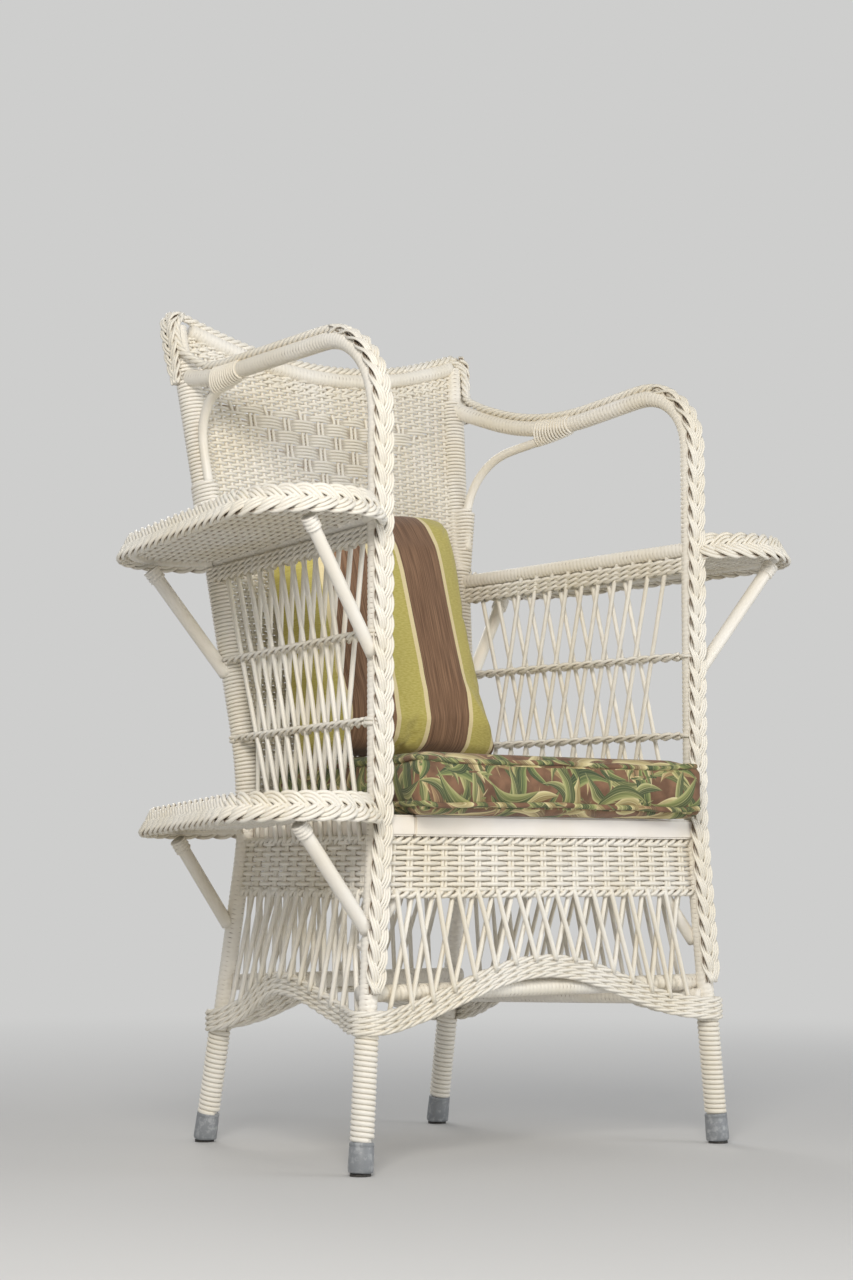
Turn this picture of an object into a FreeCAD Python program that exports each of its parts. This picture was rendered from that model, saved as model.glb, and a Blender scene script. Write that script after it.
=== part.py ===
import FreeCAD
import Part
import math
import os
from FreeCAD import Placement, Rotation, Vector
from types import SimpleNamespace

# Painted wicker armchair with two upper side shelves and one lower one.
# Millimetres, +Z up, -Y is the front, X across the chair.
# The origin lies on the floor, in the middle of the chair's width and depth.

# Driving sizes: alias, millimetres (or a plain count), meaning
SIZES = [
    ("front_post_y", -196.0, "front posts, behind the middle of the depth"),
    ("front_half", 256.0, "half the spacing of the front posts above the seat"),
    ("front_foot_half", 287.0, "half the spacing of the front feet"),
    ("front_foot_kick", 11.0, "front feet ahead of the front posts"),
    ("back_seat_y", 144.0, "knee of the back posts"),
    ("back_half", 180.0, "half the spacing of the back posts at the knee"),
    ("back_foot_half", 192.0, "half the spacing of the back feet"),
    ("back_foot_kick", 78.0, "back feet behind the knee"),
    ("back_top_half", 233.0, "half the spacing of the back posts at the top"),
    ("back_rake", 92.0, "top of the back behind the knee"),
    ("knee_height", 430.0, "knee of the back posts above the floor"),
    ("ear_height", 1035.0, "ends of the top rail above the floor"),
    ("top_dip", 70.0, "drop of the top rail towards its middle"),
    ("post_diameter", 19.0, "bare pole of the posts and arms"),
    ("front_knee_height", 400.0, "where the front posts start to splay"),
    ("knee_bend", 500.0, "bend radius of the posts at the seat"),
    ("arm_height_left", 966.0, "centre of the left arm above its front bend"),
    ("arm_height_right", 958.0, "centre of the right arm above its front bend"),
    ("arm_bend_left", 100.0, "bend radius at the front of the left arm"),
    ("arm_bend_right", 70.0, "bend radius at the front of the right arm"),
    ("arm_dip_left", 10.0, "drop of the left arm ahead of the back post"),
    ("arm_dip_right", 39.0, "drop of the right arm ahead of the back post"),
    ("arm_dip_reach_left", 350.0, "lowest corner of the left arm behind the front post"),
    ("arm_dip_reach_right", 262.0, "lowest corner of the right arm behind the front post"),
    ("arm_back_height_left", 965.0, "where the left arm meets the back post"),
    ("arm_back_height_right", 974.0, "where the right arm meets the back post"),
    ("arm_sweep", 380.0, "bend radius of an arm at its lowest corner"),
    ("arm_rail_diameter", 17.0, "lower arm rail"),
    ("arm_rail_front", 744.0, "lower arm rail at the front post"),
    ("arm_rail_back", 728.0, "lower arm rail at the back post"),
    ("brace_diameter", 12.0, "curved brace between arm and back post"),
    ("brace_foot", 766.0, "lower end of the curved brace, under the post's winding"),
    ("brace_bend_left", 60.0, "bend radius of the left brace"),
    ("brace_bend_right", 84.0, "bend radius of the right brace"),
    ("brace_drop_left", 14.0, "elbow of the left brace below its head"),
    ("brace_drop_right", 24.0, "elbow of the right brace below its head"),
    ("brace_reach", 15.0, "brace end ahead of the lowest corner of the arm"),
    ("top_rail_diameter", 18.0, "top rail of the back"),
    ("top_rail_bend", 600.0, "bend radius of the top rail in its middle"),
    ("seat_height", 402.0, "top of the seat rails"),
    ("seat_rail_height", 24.0, "thickness of the seat rails"),
    ("seat_rail_width", 42.0, "width of the seat rails"),
    ("slat_width", 26.0, "seat slat"),
    ("slat_thickness", 12.0, "seat slat"),
    ("slat_count", 6, "seat slats"),
    ("stretcher_diameter", 18.0, "wrapped stretchers between the legs"),
    ("end_stretcher_height", 200.0, "front and back stretchers above the floor"),
    ("side_stretcher_height", 175.0, "side stretchers above the floor"),
    ("corner_brace_diameter", 14.0, "braces under the front corners of the seat"),
    ("corner_brace_foot", 250.0, "foot of a corner brace above the floor"),
    ("corner_brace_run", 110.0, "reach of a corner brace along the front rail"),
    ("band_drop", 2.0, "woven apron band below the seat rails"),
    ("band_height", 65.0, "height of the woven apron band"),
    ("band_thickness", 8.0, "woven apron band"),
    ("border_height", 26.0, "rope border of the apron"),
    ("border_thickness", 9.0, "rope border of the apron"),
    ("border_front_leg", 168.0, "middle of the border at the front legs"),
    ("border_back_leg", 152.0, "middle of the border at the back legs"),
    ("border_front_peak", 226.0, "middle of the border at the front arch"),
    ("border_side_peak", 204.0, "middle of the border at the side arch"),
    ("border_back_peak", 196.0, "middle of the border at the back arch"),
    ("reed_diameter", 5.6, "reeds of the lattices"),
    ("reed_gap", 1.4, "room between the two layers of reeds"),
    ("front_reeds", 16, "reed places across the front apron"),
    ("side_reeds", 13, "reed places along a side"),
    ("back_reeds", 11, "reed places across the back apron"),
    ("side_lean", 3, "places that a side reed leans over its height"),
    ("row_diameter", 5.0, "twisted rows on the side lattices"),
    ("lower_row_height", 509.0, "lower twisted row"),
    ("upper_row_height", 610.0, "upper twisted row"),
    ("panel_thickness", 5.0, "rows of the back's weave between the stakes"),
    ("back_stakes", 18, "upright stakes in the back"),
    ("stake_diameter", 9.0, "stakes of the back and of the shelves, with the weavers over them"),
    ("panel_lift", 12.0, "bottom of the woven back panel above the knee or the seat"),
    ("rim_height", 30.0, "braided shelf rim"),
    ("rim_thickness", 15.0, "braided shelf rim"),
    ("deck_thickness", 5.0, "rows of a shelf's weave between the stakes"),
    ("deck_stake_pitch", 24.0, "spacing of the stakes in a shelf"),
    ("upper_shelf_reach", 175.0, "upper shelves, out from the posts"),
    ("lower_shelf_reach", 178.5, "lower shelf, out from the posts"),
    ("shelf_round", 88.0, "outer radius of both ends of a shelf"),
    ("shelf_front_inset", 28.0, "centre of a shelf's front end behind the front post"),
    ("shelf_back_inset", 70.0, "centre of a shelf's back end ahead of the back post"),
    ("shelf_taper", 27.0, "shelf narrower at its back end"),
    ("lower_deck_gap", 9.0, "lower deck clear of the side lattice"),
    ("lower_rim_gap", 3.0, "ends of the lower rim clear of the side lattice"),
    ("lower_shelf_front", 404.0, "middle of the lower rim at the front post"),
    ("lower_shelf_back", 392.0, "middle of the lower rim at the back post"),
    ("strut_diameter", 14.0, "bare struts of the shelves"),
    ("upper_strut_foot", 580.0, "upper struts on the posts"),
    ("lower_strut_foot", 268.0, "lower struts on the posts"),
    ("strut_spread", 25.0, "strut heads round the rim, degrees from its tips"),
    ("braid_width", 24.0, "braid on the front posts"),
    ("braid_thickness", 6.0, "braid on the front posts"),
    ("braid_foot", 198.0, "lower end of the braid"),
    ("braid_head", 860.0, "upper end of the braid"),
    ("trim_diameter", 11.0, "twisted rope trim"),
    ("trim_corner", 16.0, "bend radius of the trim over the ears"),
    ("ear_trim_foot", 1000.0, "lower ends of the trim on the back posts"),
    ("glide_height", 3.0, "dark glide under a foot"),
    ("glide_diameter", 24.0, "dark glide under a foot"),
    ("ferrule_height", 32.0, "grey ferrule on a foot"),
    ("ferrule_diameter", 29.0, "grey ferrule on a foot"),
    ("ferrule_floor", 3.0, "closed end of a ferrule"),
    ("wrap_diameter", 4.4, "cane wound round the legs"),
    ("wrap_pitch", 6.0, "rise of one turn of the leg winding"),
    ("front_wrap_turns", 19, "turns on a front leg"),
    ("back_wrap_turns", 16, "turns on a back leg"),
    ("cushion_front_half", 232.0, "half width of the seat cushion at its front"),
    ("cushion_back_half", 162.0, "half width of the seat cushion at its back"),
    ("cushion_overhang", 48.0, "seat cushion ahead of the front posts"),
    ("cushion_depth", 372.0, "seat cushion, front to back"),
    ("cushion_thickness", 60.0, "seat cushion at its piped edges"),
    ("cushion_crown", 9.0, "rise of the seat cushion's top in the middle"),
    ("pillow_half_width", 170.0, "half width of the back cushion"),
    ("pillow_height", 352.0, "back cushion along its lean"),
    ("pillow_front_bulge", 66.0, "back cushion ahead of its seam"),
    ("pillow_back_bulge", 24.0, "back cushion behind its seam"),
    ("pillow_shoulder", 110.0, "width of the rounded edge of the back cushion"),
    ("pillow_lean", 8.25, "lean of the back cushion beyond the back's own, degrees"),
    ("pillow_standoff", 70.4, "back cushion's lower seam ahead of the middle of the back"),
    ("draw_in", 9.0, "how far cushion sides pull in between their corners"),
    ("clearance", 0.3, "room between pieces that meet"),
]

doc = FreeCAD.newDocument("wicker_armchair")
sheet = doc.addObject("Spreadsheet::Sheet", "sizes")
for row, (alias, value, meaning) in enumerate(SIZES, start=1):
    sheet.set(f"A{row}", meaning)
    sheet.set(f"B{row}", str(value))
    sheet.setAlias(f"B{row}", alias)
doc.recompute()
d = SimpleNamespace(**{alias: float(sheet.get(alias)) for alias, _, _ in SIZES})

LEFT, RIGHT = -1, 1
SIDES = [("left", LEFT), ("right", RIGHT)]
UP = Vector(0, 0, 1)
nodes = []


def add_shape(name, shape):
    """A finished shape as a sub-part of the document."""
    feature = doc.addObject("Part::Feature", name)
    feature.Label = name
    feature.Shape = shape
    nodes.append(feature)
    return feature


def add_group(name, members):
    """Loose pieces of one kind that share a sub-part."""
    group = doc.addObject("Part::Compound", name)
    group.Label = name
    group.Links = members
    nodes.append(group)
    return group


def unit(vector):
    return Vector(vector).normalize()


def between(start, end, share):
    return start + (end - start) * share


def at_height(start, end, height):
    """Point at a height on the line from start to end."""
    return between(start, end, (height - start.z) / (end.z - start.z))


def bent_wire(points, bends):
    """Straight runs joined by tangent arcs, with one bend radius for each inner point."""
    edges = []
    start = points[0]
    for before, corner, after, radius in zip(points, points[1:], points[2:], bends):
        back, ahead = unit(before - corner), unit(after - corner)
        half_angle = back.getAngle(ahead) / 2
        setback = radius / math.tan(half_angle)
        inside = radius / math.sin(half_angle) - radius
        arc_start, arc_end = corner + back * setback, corner + ahead * setback
        edges.append(Part.makeLine(start, arc_start))
        edges.append(Part.Arc(arc_start, corner + unit(back + ahead) * inside, arc_end).toShape())
        start = arc_end
    edges.append(Part.makeLine(start, points[-1]))
    return Part.Wire(edges)


def pole(points, bends, diameter):
    """Round pole along straight runs and tangent arcs."""
    if not bends:
        run = points[1] - points[0]
        return Part.makeCylinder(diameter / 2, run.Length, points[0], run)
    section = Part.Wire(Part.makeCircle(diameter / 2, points[0], points[1] - points[0]))
    return bent_wire(points, bends).makePipeShell([section], True, False)


def prism(outline, bottom, top):
    """Upright solid on a plan outline of (x, y) pairs."""
    corners = [Vector(x, y, bottom) for x, y in outline]
    return Part.Face(Part.makePolygon(corners + corners[:1])).extrude(Vector(0, 0, top - bottom))


def only_solids(shape):
    return shape.Solids[0] if len(shape.Solids) == 1 else Part.makeCompound(shape.Solids)


def trimmed(shape, *tools):
    """Shape cut back from its neighbours."""
    for tool in tools:
        shape = shape.cut(tool)
    return only_solids(shape)


# Posts: the skeleton that every other piece is hung on
POST_RADIUS = d.post_diameter / 2
GRIP = POST_RADIUS + d.clearance
FOOT_Z = d.glide_height + d.ferrule_floor + d.clearance


def front_foot(side):
    return Vector(side * d.front_foot_half, d.front_post_y - d.front_foot_kick, 0)


def front_knee(side):
    return Vector(side * d.front_half, d.front_post_y, d.front_knee_height)


def front_axis(side, height):
    """Point on the axis of a front post."""
    if height < d.front_knee_height:
        return at_height(front_foot(side), front_knee(side), height)
    return Vector(side * d.front_half, d.front_post_y, height)


def back_foot(side):
    return Vector(side * d.back_foot_half, d.back_seat_y + d.back_foot_kick, 0)


def back_knee(side):
    return Vector(side * d.back_half, d.back_seat_y, d.knee_height)


def back_top(side):
    return Vector(side * d.back_top_half, d.back_seat_y + d.back_rake, d.ear_height)


def back_axis(side, height):
    """Point on the axis of a back post."""
    if height < d.knee_height:
        return at_height(back_foot(side), back_knee(side), height)
    return at_height(back_knee(side), back_top(side), height)


def by_side(name, side):
    """Size that differs between the two sides, as the arms were bent by hand."""
    return getattr(d, f"{name}_left" if side == LEFT else f"{name}_right")


def arm_route(side, lift=0.0):
    """Corners of the arm over the front bend; lift moves them to the outside of the bend."""
    start = Vector(side * d.front_half, d.front_post_y, by_side("arm_height", side))
    end = back_axis(side, by_side("arm_back_height", side))
    reach = by_side("arm_dip_reach", side)
    low = between(start, end, reach / (end.y - start.y))
    low.z = start.z - by_side("arm_dip", side)
    fall = math.atan2(start.z - low.z, reach)
    climb = math.atan2(end.z - low.z, end.y - low.y)
    corner = start + Vector(0, -lift, lift * (1 / math.cos(fall) + math.tan(fall)))
    low_lift = lift * math.cos((climb - fall) / 2) / math.cos((climb + fall) / 2)
    return corner, low + UP * low_lift, end + UP * (lift / math.cos(climb))


def above_floor(solid, level):
    """Solid cut off level at a height above the floor."""
    size = 2 * d.ear_height
    return solid.cut(Part.makeBox(size, size, size, Vector(-size / 2, -size / 2, level - size)))


def front_post(side, diameter, foot):
    corner, low, end = arm_route(side)
    route = [front_axis(side, foot), front_knee(side), corner, low, end]
    return pole(route, [d.knee_bend, by_side("arm_bend", side), d.arm_sweep], diameter)


def back_post(side, diameter, foot, head):
    route = [back_axis(side, foot), back_knee(side), back_axis(side, head)]
    return pole(route, [d.knee_bend], diameter)


POST_HEAD = d.ear_height + d.clearance
TOOL_OVERRUN = 40.0
front_tool = {}
back_tool = {}
for name, side in SIDES:
    front_tool[side] = front_post(side, 2 * GRIP, -TOOL_OVERRUN)
    back_tool[side] = back_post(side, 2 * GRIP, -TOOL_OVERRUN, POST_HEAD + TOOL_OVERRUN)
    front_pole = trimmed(front_post(side, d.post_diameter, -TOOL_OVERRUN), back_tool[side])
    add_shape(f"front_post_{name}", only_solids(above_floor(front_pole, FOOT_Z)))
    back_pole = back_post(side, d.post_diameter, -TOOL_OVERRUN, POST_HEAD)
    add_shape(f"back_post_{name}", only_solids(above_floor(back_pole, FOOT_Z)))
ALL_POSTS = list(front_tool.values()) + list(back_tool.values())

# Back: top rail and woven panel, both in the plane of the raked posts
BACK_UP = unit(back_top(RIGHT) - back_knee(RIGHT) - Vector(d.back_top_half - d.back_half, 0, 0))
BACK_NORMAL = BACK_UP.cross(Vector(1, 0, 0))
RAIL_MIDDLE = Vector(0, back_top(RIGHT).y, d.ear_height) - BACK_UP * d.top_dip
TOP_ROUTE = [back_top(LEFT), RAIL_MIDDLE, back_top(RIGHT)]


def top_rail(diameter):
    return pole(TOP_ROUTE, [d.top_rail_bend], diameter)


add_shape("top_rail", trimmed(top_rail(d.top_rail_diameter), back_tool[LEFT], back_tool[RIGHT]))

PANEL_FOOT = max(d.knee_height, d.seat_height) + d.panel_lift
panel_corners = [back_axis(LEFT, PANEL_FOOT), back_top(LEFT), RAIL_MIDDLE, back_top(RIGHT),
                 back_axis(RIGHT, PANEL_FOOT)]
panel_face = Part.Face(Part.makePolygon(panel_corners + panel_corners[:1]))
panel_face.translate(BACK_NORMAL * (-d.panel_thickness / 2))
back_panel = panel_face.extrude(BACK_NORMAL * d.panel_thickness)
rail_tool = top_rail(d.top_rail_diameter + 2 * d.clearance)
stake_count = int(d.back_stakes)
stakes = []
for index in range(stake_count):
    share = (index + 0.5) / stake_count
    foot = between(back_axis(LEFT, PANEL_FOOT), back_axis(RIGHT, PANEL_FOOT), share)
    head = between(back_top(LEFT), back_top(RIGHT), share)
    stakes.append(pole([foot, head], [], d.stake_diameter))
back_panel = back_panel.fuse(stakes)
over_rail = Part.Face(Part.makePolygon(TOP_ROUTE + TOP_ROUTE[:1])).extrude(BACK_NORMAL * d.stake_diameter)
over_rail.translate(BACK_NORMAL * (-d.stake_diameter / 2))
panel_solids = trimmed(back_panel, back_tool[LEFT], back_tool[RIGHT], rail_tool, over_rail).Solids
add_shape("back_panel", max(panel_solids, key=lambda solid: solid.Volume))

# Arms: lower rails and curved braces
arm_rail = {}
for name, side in SIDES:
    ends = [front_axis(side, d.arm_rail_front), back_axis(side, d.arm_rail_back)]
    arm_rail[side] = ends
    rail = pole(ends, [], d.arm_rail_diameter)
    add_shape(f"arm_rail_{name}", trimmed(rail, front_tool[side], back_tool[side]))

    standoff = POST_RADIUS + d.brace_diameter / 2 + d.clearance
    corner, low, end = arm_route(side)
    ahead = unit(Vector(low.x - end.x, low.y - end.y, 0))
    turn = (low - corner).getAngle(end - low)
    over_low = low + UP * (d.arm_sweep * (1 / math.cos(turn / 2) - 1))
    brace_head = over_low + ahead * d.brace_reach - UP * (POST_RADIUS + d.brace_diameter / 2)
    elbow = back_axis(side, brace_head.z - by_side("brace_drop", side)) + ahead * standoff
    route = [back_axis(side, d.brace_foot) + ahead * standoff, elbow, brace_head]
    brace = pole(route, [by_side("brace_bend", side)], d.brace_diameter)
    add_shape(f"arm_brace_{name}", trimmed(brace, front_tool[side], back_tool[side]))

# Seat: four flat rails butted in a pinwheel, with slats between the front and back ones
SEAT_BOTTOM = d.seat_height - d.seat_rail_height
SEAT_MIDDLE = d.seat_height - d.seat_rail_height / 2
SEAT_FRONT = d.front_post_y - POST_RADIUS
SEAT_BACK = back_axis(RIGHT, SEAT_MIDDLE).y + POST_RADIUS
FRONT_BUTT = SEAT_FRONT + d.seat_rail_width
BACK_BUTT = SEAT_BACK - d.seat_rail_width
seat_front_post = front_axis(RIGHT, SEAT_MIDDLE)
seat_back_post = back_axis(RIGHT, SEAT_MIDDLE)
SEAT_TAPER = (seat_front_post.x - seat_back_post.x) / (seat_back_post.y - seat_front_post.y)
SLANT = math.hypot(1, SEAT_TAPER)


def seat_edge(y, inset):
    """Half width of the seat at a depth, inside the line through the posts."""
    return seat_front_post.x - SEAT_TAPER * (y - seat_front_post.y) - inset * SLANT


def rail_outer(y):
    return seat_edge(y, GRIP)


def rail_inner(y):
    return seat_edge(y, GRIP + d.seat_rail_width)


def rail_inner_gap(y):
    return rail_inner(y) - d.clearance


def seat_rail(name, left_edge, right_edge, front, back):
    outline = [(left_edge(front), front), (right_edge(front), front),
               (right_edge(back), back), (left_edge(back), back)]
    add_shape(name, trimmed(prism(outline, SEAT_BOTTOM, d.seat_height), *ALL_POSTS))


def negative(edge):
    return lambda y: -edge(y)


seat_rail("seat_rail_front", negative(rail_inner_gap), rail_outer, SEAT_FRONT, FRONT_BUTT)
seat_rail("seat_rail_right", rail_inner, rail_outer, FRONT_BUTT + d.clearance, SEAT_BACK)
seat_rail("seat_rail_back", negative(rail_outer), rail_inner_gap, BACK_BUTT, SEAT_BACK)
seat_rail("seat_rail_left", negative(rail_outer), negative(rail_inner), SEAT_FRONT, BACK_BUTT - d.clearance)

slats = []
slat_count = int(d.slat_count)
slat_span = 2 * rail_inner(BACK_BUTT)
slat_pitch = slat_span / slat_count
for index in range(slat_count):
    slat = doc.addObject("Part::Box", f"slat_{index + 1}")
    slat.setExpression("Length", "sizes.slat_width")
    slat.setExpression("Height", "sizes.slat_thickness")
    slat.Width = BACK_BUTT - FRONT_BUTT - 2 * d.clearance
    slat_x = (index + 0.5) * slat_pitch - slat_span / 2 - d.slat_width / 2
    slat.Placement.Base = Vector(slat_x, FRONT_BUTT + d.clearance, d.seat_height - d.slat_thickness)
    slats.append(slat)
add_group("seat_slats", slats)

# Legs by name, and the legs that each side of the apron runs between
LEGS = {"front_left": (front_axis, LEFT), "front_right": (front_axis, RIGHT),
        "back_left": (back_axis, LEFT), "back_right": (back_axis, RIGHT)}
APRON = {"front": ("front_left", "front_right"), "back": ("back_left", "back_right"),
         "left": ("front_left", "back_left"), "right": ("front_right", "back_right")}


def leg_axis(leg, height):
    axis, side = LEGS[leg]
    return axis(side, height)


def flat_normal(along):
    return unit(Vector(-along.y, along.x, 0))


LATTICE_HALF = d.reed_diameter + d.reed_gap / 2
TOOL_WIDTH = 60.0
BAND_TOP = SEAT_BOTTOM - d.band_drop
BAND_BOTTOM = BAND_TOP - d.band_height

# Braces under the front corners of the seat
corner_braces = []
for name, side in SIDES:
    behind = Vector(0, LATTICE_HALF + d.corner_brace_diameter / 2 + d.clearance, 0)
    foot = front_axis(side, d.corner_brace_foot) + behind
    head = front_axis(side, d.seat_height) + behind - Vector(side * d.corner_brace_run, 0, 0)
    brace = pole([foot, head], [], d.corner_brace_diameter)
    under_seat = Part.makeBox(2 * d.front_half, TOOL_WIDTH, TOOL_WIDTH,
                              Vector(-d.front_half, SEAT_FRONT, SEAT_BOTTOM - d.clearance))
    corner_braces.append(trimmed(brace, front_tool[side], under_seat))
add_shape("corner_braces", Part.makeCompound(corner_braces))


# Apron: a woven band, a lattice of crossed reeds and a scalloped rope border on each side
def upright_plate(low, high, thickness):
    """Plate that stands on one line and reaches up to another."""
    wires = []
    for start, end in (low, high):
        offset = flat_normal(end - start) * (thickness / 2)
        corners = [start + offset, end + offset, end - offset, start - offset]
        wires.append(Part.makePolygon(corners + corners[:1]))
    return Part.makeLoft(wires, True, True)


class Arch:
    """Scalloped line from leg to leg: an S of two equal arcs on each side of its peak."""

    def __init__(self, first, last, heights, peak_share):
        self.start = leg_axis(first, heights[0])
        self.end = leg_axis(last, heights[2])
        self.start.z = self.end.z = 0
        self.along = unit(self.end - self.start)
        self.length = (self.end - self.start).Length
        self.heights = heights
        self.peak = peak_share * self.length

    def height(self, distance):
        low_first, peak, low_last = self.heights
        if distance <= self.peak:
            low, run, from_leg = low_first, self.peak, distance
        else:
            low, run, from_leg = low_last, self.length - self.peak, self.length - distance
        rise = peak - low
        radius = (run ** 2 + rise ** 2) / (4 * rise)
        if from_leg <= run / 2:
            return low + radius - math.sqrt(radius ** 2 - from_leg ** 2)
        return peak - radius + math.sqrt(radius ** 2 - (run - from_leg) ** 2)

    def point(self, distance, shift=0.0):
        return self.start + self.along * distance + UP * (self.height(distance) + shift)

    def arcs(self, shift):
        ends = [0, self.peak / 2, self.peak, (self.peak + self.length) / 2, self.length]
        return [Part.Arc(self.point(a, shift), self.point((a + b) / 2, shift), self.point(b, shift)).toShape()
                for a, b in zip(ends, ends[1:])]

    def strip(self, height, thickness):
        """Upright strip of constant height along the line."""
        ends = [Part.makeLine(self.point(s, -height / 2), self.point(s, height / 2)) for s in (0, self.length)]
        edges = Part.sortEdges(self.arcs(height / 2) + self.arcs(-height / 2) + ends)[0]
        normal = flat_normal(self.along)
        face = Part.Face(Part.Wire(edges))
        face.translate(normal * (-thickness / 2))
        return face.extrude(normal * thickness)


def reed(start, end):
    """Reed as a slim six-sided bar."""
    run = end - start
    across = unit(run.cross(UP))
    over = unit(run.cross(across))
    corners = []
    for index in range(6):
        angle = math.radians(60 * index)
        corners.append(start + (across * math.cos(angle) + over * math.sin(angle)) * (d.reed_diameter / 2))
    return Part.Face(Part.makePolygon(corners + corners[:1])).extrude(run)


def crossed_reeds(low, high, count, lean, margin):
    """Two layers of reeds leaning opposite ways between a low line and a high one, both functions of a share."""
    normal = flat_normal(low(1) - low(0))
    twist = ((low(1) - low(0)) - (high(1) - high(0))).dot(normal)
    layer = normal * ((d.reed_diameter + d.reed_gap) / 2) * (-1 if twist > 0 else 1)
    places = [margin + (1 - 2 * margin) * (index + 0.5) / count for index in range(count)]
    bars = []
    for here, there in zip(places, places[lean:]):
        bars.append(reed(low(here) + layer, high(there) + layer))
        bars.append(reed(low(there) - layer, high(here) - layer))
    return Part.makeCompound(bars)


ARCH_PEAK = {"front": d.border_front_peak, "back": d.border_back_peak,
             "left": d.border_side_peak, "right": d.border_side_peak}
REED_COUNT = {"front": d.front_reeds, "back": d.back_reeds, "left": d.side_reeds, "right": d.side_reeds}
SIDE_PEAK_SHARE = 0.6
REED_MARGIN = GRIP + d.strut_diameter / 2
band_tool = {}
arches = {}
for side_name, (first, last) in APRON.items():
    leg_height = {"front": d.border_front_leg, "back": d.border_back_leg}
    ends = [leg_height[leg.split("_")[0]] for leg in (first, last)]
    peak_share = 0.5 if side_name in ("front", "back") else SIDE_PEAK_SHARE
    arch = Arch(first, last, (ends[0], ARCH_PEAK[side_name], ends[1]), peak_share)
    arches[side_name] = arch
    add_shape(f"apron_border_{side_name}", trimmed(arch.strip(d.border_height, d.border_thickness), *ALL_POSTS))

    band_low = [leg_axis(first, BAND_BOTTOM), leg_axis(last, BAND_BOTTOM)]
    band_high = [leg_axis(first, BAND_TOP), leg_axis(last, BAND_TOP)]
    add_shape(f"apron_band_{side_name}",
              trimmed(upright_plate(band_low, band_high, d.band_thickness), *ALL_POSTS))

    room = UP * d.clearance
    band_tool[side_name] = upright_plate([p - room for p in band_low], [p + room for p in band_high], TOOL_WIDTH)
    border_tool = arch.strip(d.border_height + 2 * d.clearance, TOOL_WIDTH)
    reeds = crossed_reeds(lambda share: arch.point(share * arch.length),
                          lambda share: between(band_low[0], band_low[1], share) + UP * d.reed_diameter,
                          int(REED_COUNT[side_name]), 1, REED_MARGIN / arch.length)
    add_shape(f"apron_lattice_{side_name}", trimmed(reeds, band_tool[side_name], border_tool, *ALL_POSTS))

# Stretchers between the legs, just inside the apron
for side_name, (first, last) in APRON.items():
    height = d.end_stretcher_height if side_name in ("front", "back") else d.side_stretcher_height
    ends = [leg_axis(first, height), leg_axis(last, height)]
    inward = flat_normal(ends[1] - ends[0])
    if inward.dot(ends[0] + ends[1]) > 0:
        inward = inward * -1
    inset = inward * (LATTICE_HALF + d.stretcher_diameter / 2 + d.clearance)
    bar = pole([point + inset for point in ends], [], d.stretcher_diameter)
    borders = [arches[name].strip(d.border_height + 2 * d.clearance, d.border_thickness + 2 * d.clearance)
               for name in ("front", "back") if name != side_name]
    add_shape(f"stretcher_{side_name}", trimmed(bar, *borders, *ALL_POSTS))

# Side lattices above the apron, up to the lower arm rails, tied by twisted rows
for name, side in SIDES:
    low_ends = [front_axis(side, BAND_TOP), back_axis(side, BAND_TOP)]
    high_ends = arm_rail[side]
    length = (low_ends[1] - low_ends[0]).Length
    count, lean = int(d.side_reeds), int(d.side_lean)
    reeds = crossed_reeds(lambda share: between(low_ends[0], low_ends[1], share) - UP * d.reed_diameter,
                          lambda share: between(high_ends[0], high_ends[1], share),
                          count, lean, REED_MARGIN / length)
    rail_tool = pole(high_ends, [], d.arm_rail_diameter + 2 * d.clearance)
    add_shape(f"side_lattice_{name}", trimmed(reeds, band_tool[name], rail_tool, *ALL_POSTS))

    twist = (low_ends[1] - low_ends[0]) - (high_ends[1] - high_ends[0])
    rows = []
    for height in (d.lower_row_height, d.upper_row_height):
        rise = (height - BAND_TOP) / (d.arm_rail_front - BAND_TOP)
        ends = [between(low, high, rise) for low, high in zip(low_ends, high_ends)]
        along = unit(ends[1] - ends[0])
        normal = flat_normal(along)
        bulge = abs(twist.dot(normal)) * lean / count * rise * (1 - rise)
        offset = normal * (LATTICE_HALF + bulge + d.row_diameter / 2 + d.clearance)
        short = along * (REED_MARGIN + d.strut_diameter)
        row_ends = [ends[0] + short, ends[1] - short]
        for sign in (-1, 1):
            row = pole([point + offset * sign for point in row_ends], [], d.row_diameter)
            rows.append(trimmed(row, front_tool[side], back_tool[side]))
    add_shape(f"side_rows_{name}", Part.makeCompound(rows))


# Braid down the face of each front post
BRAID_OFFSET = Vector(0, -(GRIP + d.braid_thickness / 2), 0)


def braid(side, room):
    """Flat braid along a front post, with room added all round."""
    route = [point + BRAID_OFFSET for point in
             (front_axis(side, d.braid_foot), front_knee(side), front_axis(side, d.braid_head))]
    half_width, half_thickness = d.braid_width / 2 + room, d.braid_thickness / 2 + room
    corners = [route[0] + Vector(x, y, 0) for x, y in
               ((-half_width, -half_thickness), (half_width, -half_thickness),
                (half_width, half_thickness), (-half_width, half_thickness))]
    section = Part.makePolygon(corners + corners[:1])
    return bent_wire(route, [d.knee_bend]).makePipeShell([section], True, False)


for name, side in SIDES:
    add_shape(f"front_braid_{name}", braid(side, 0))


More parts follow.
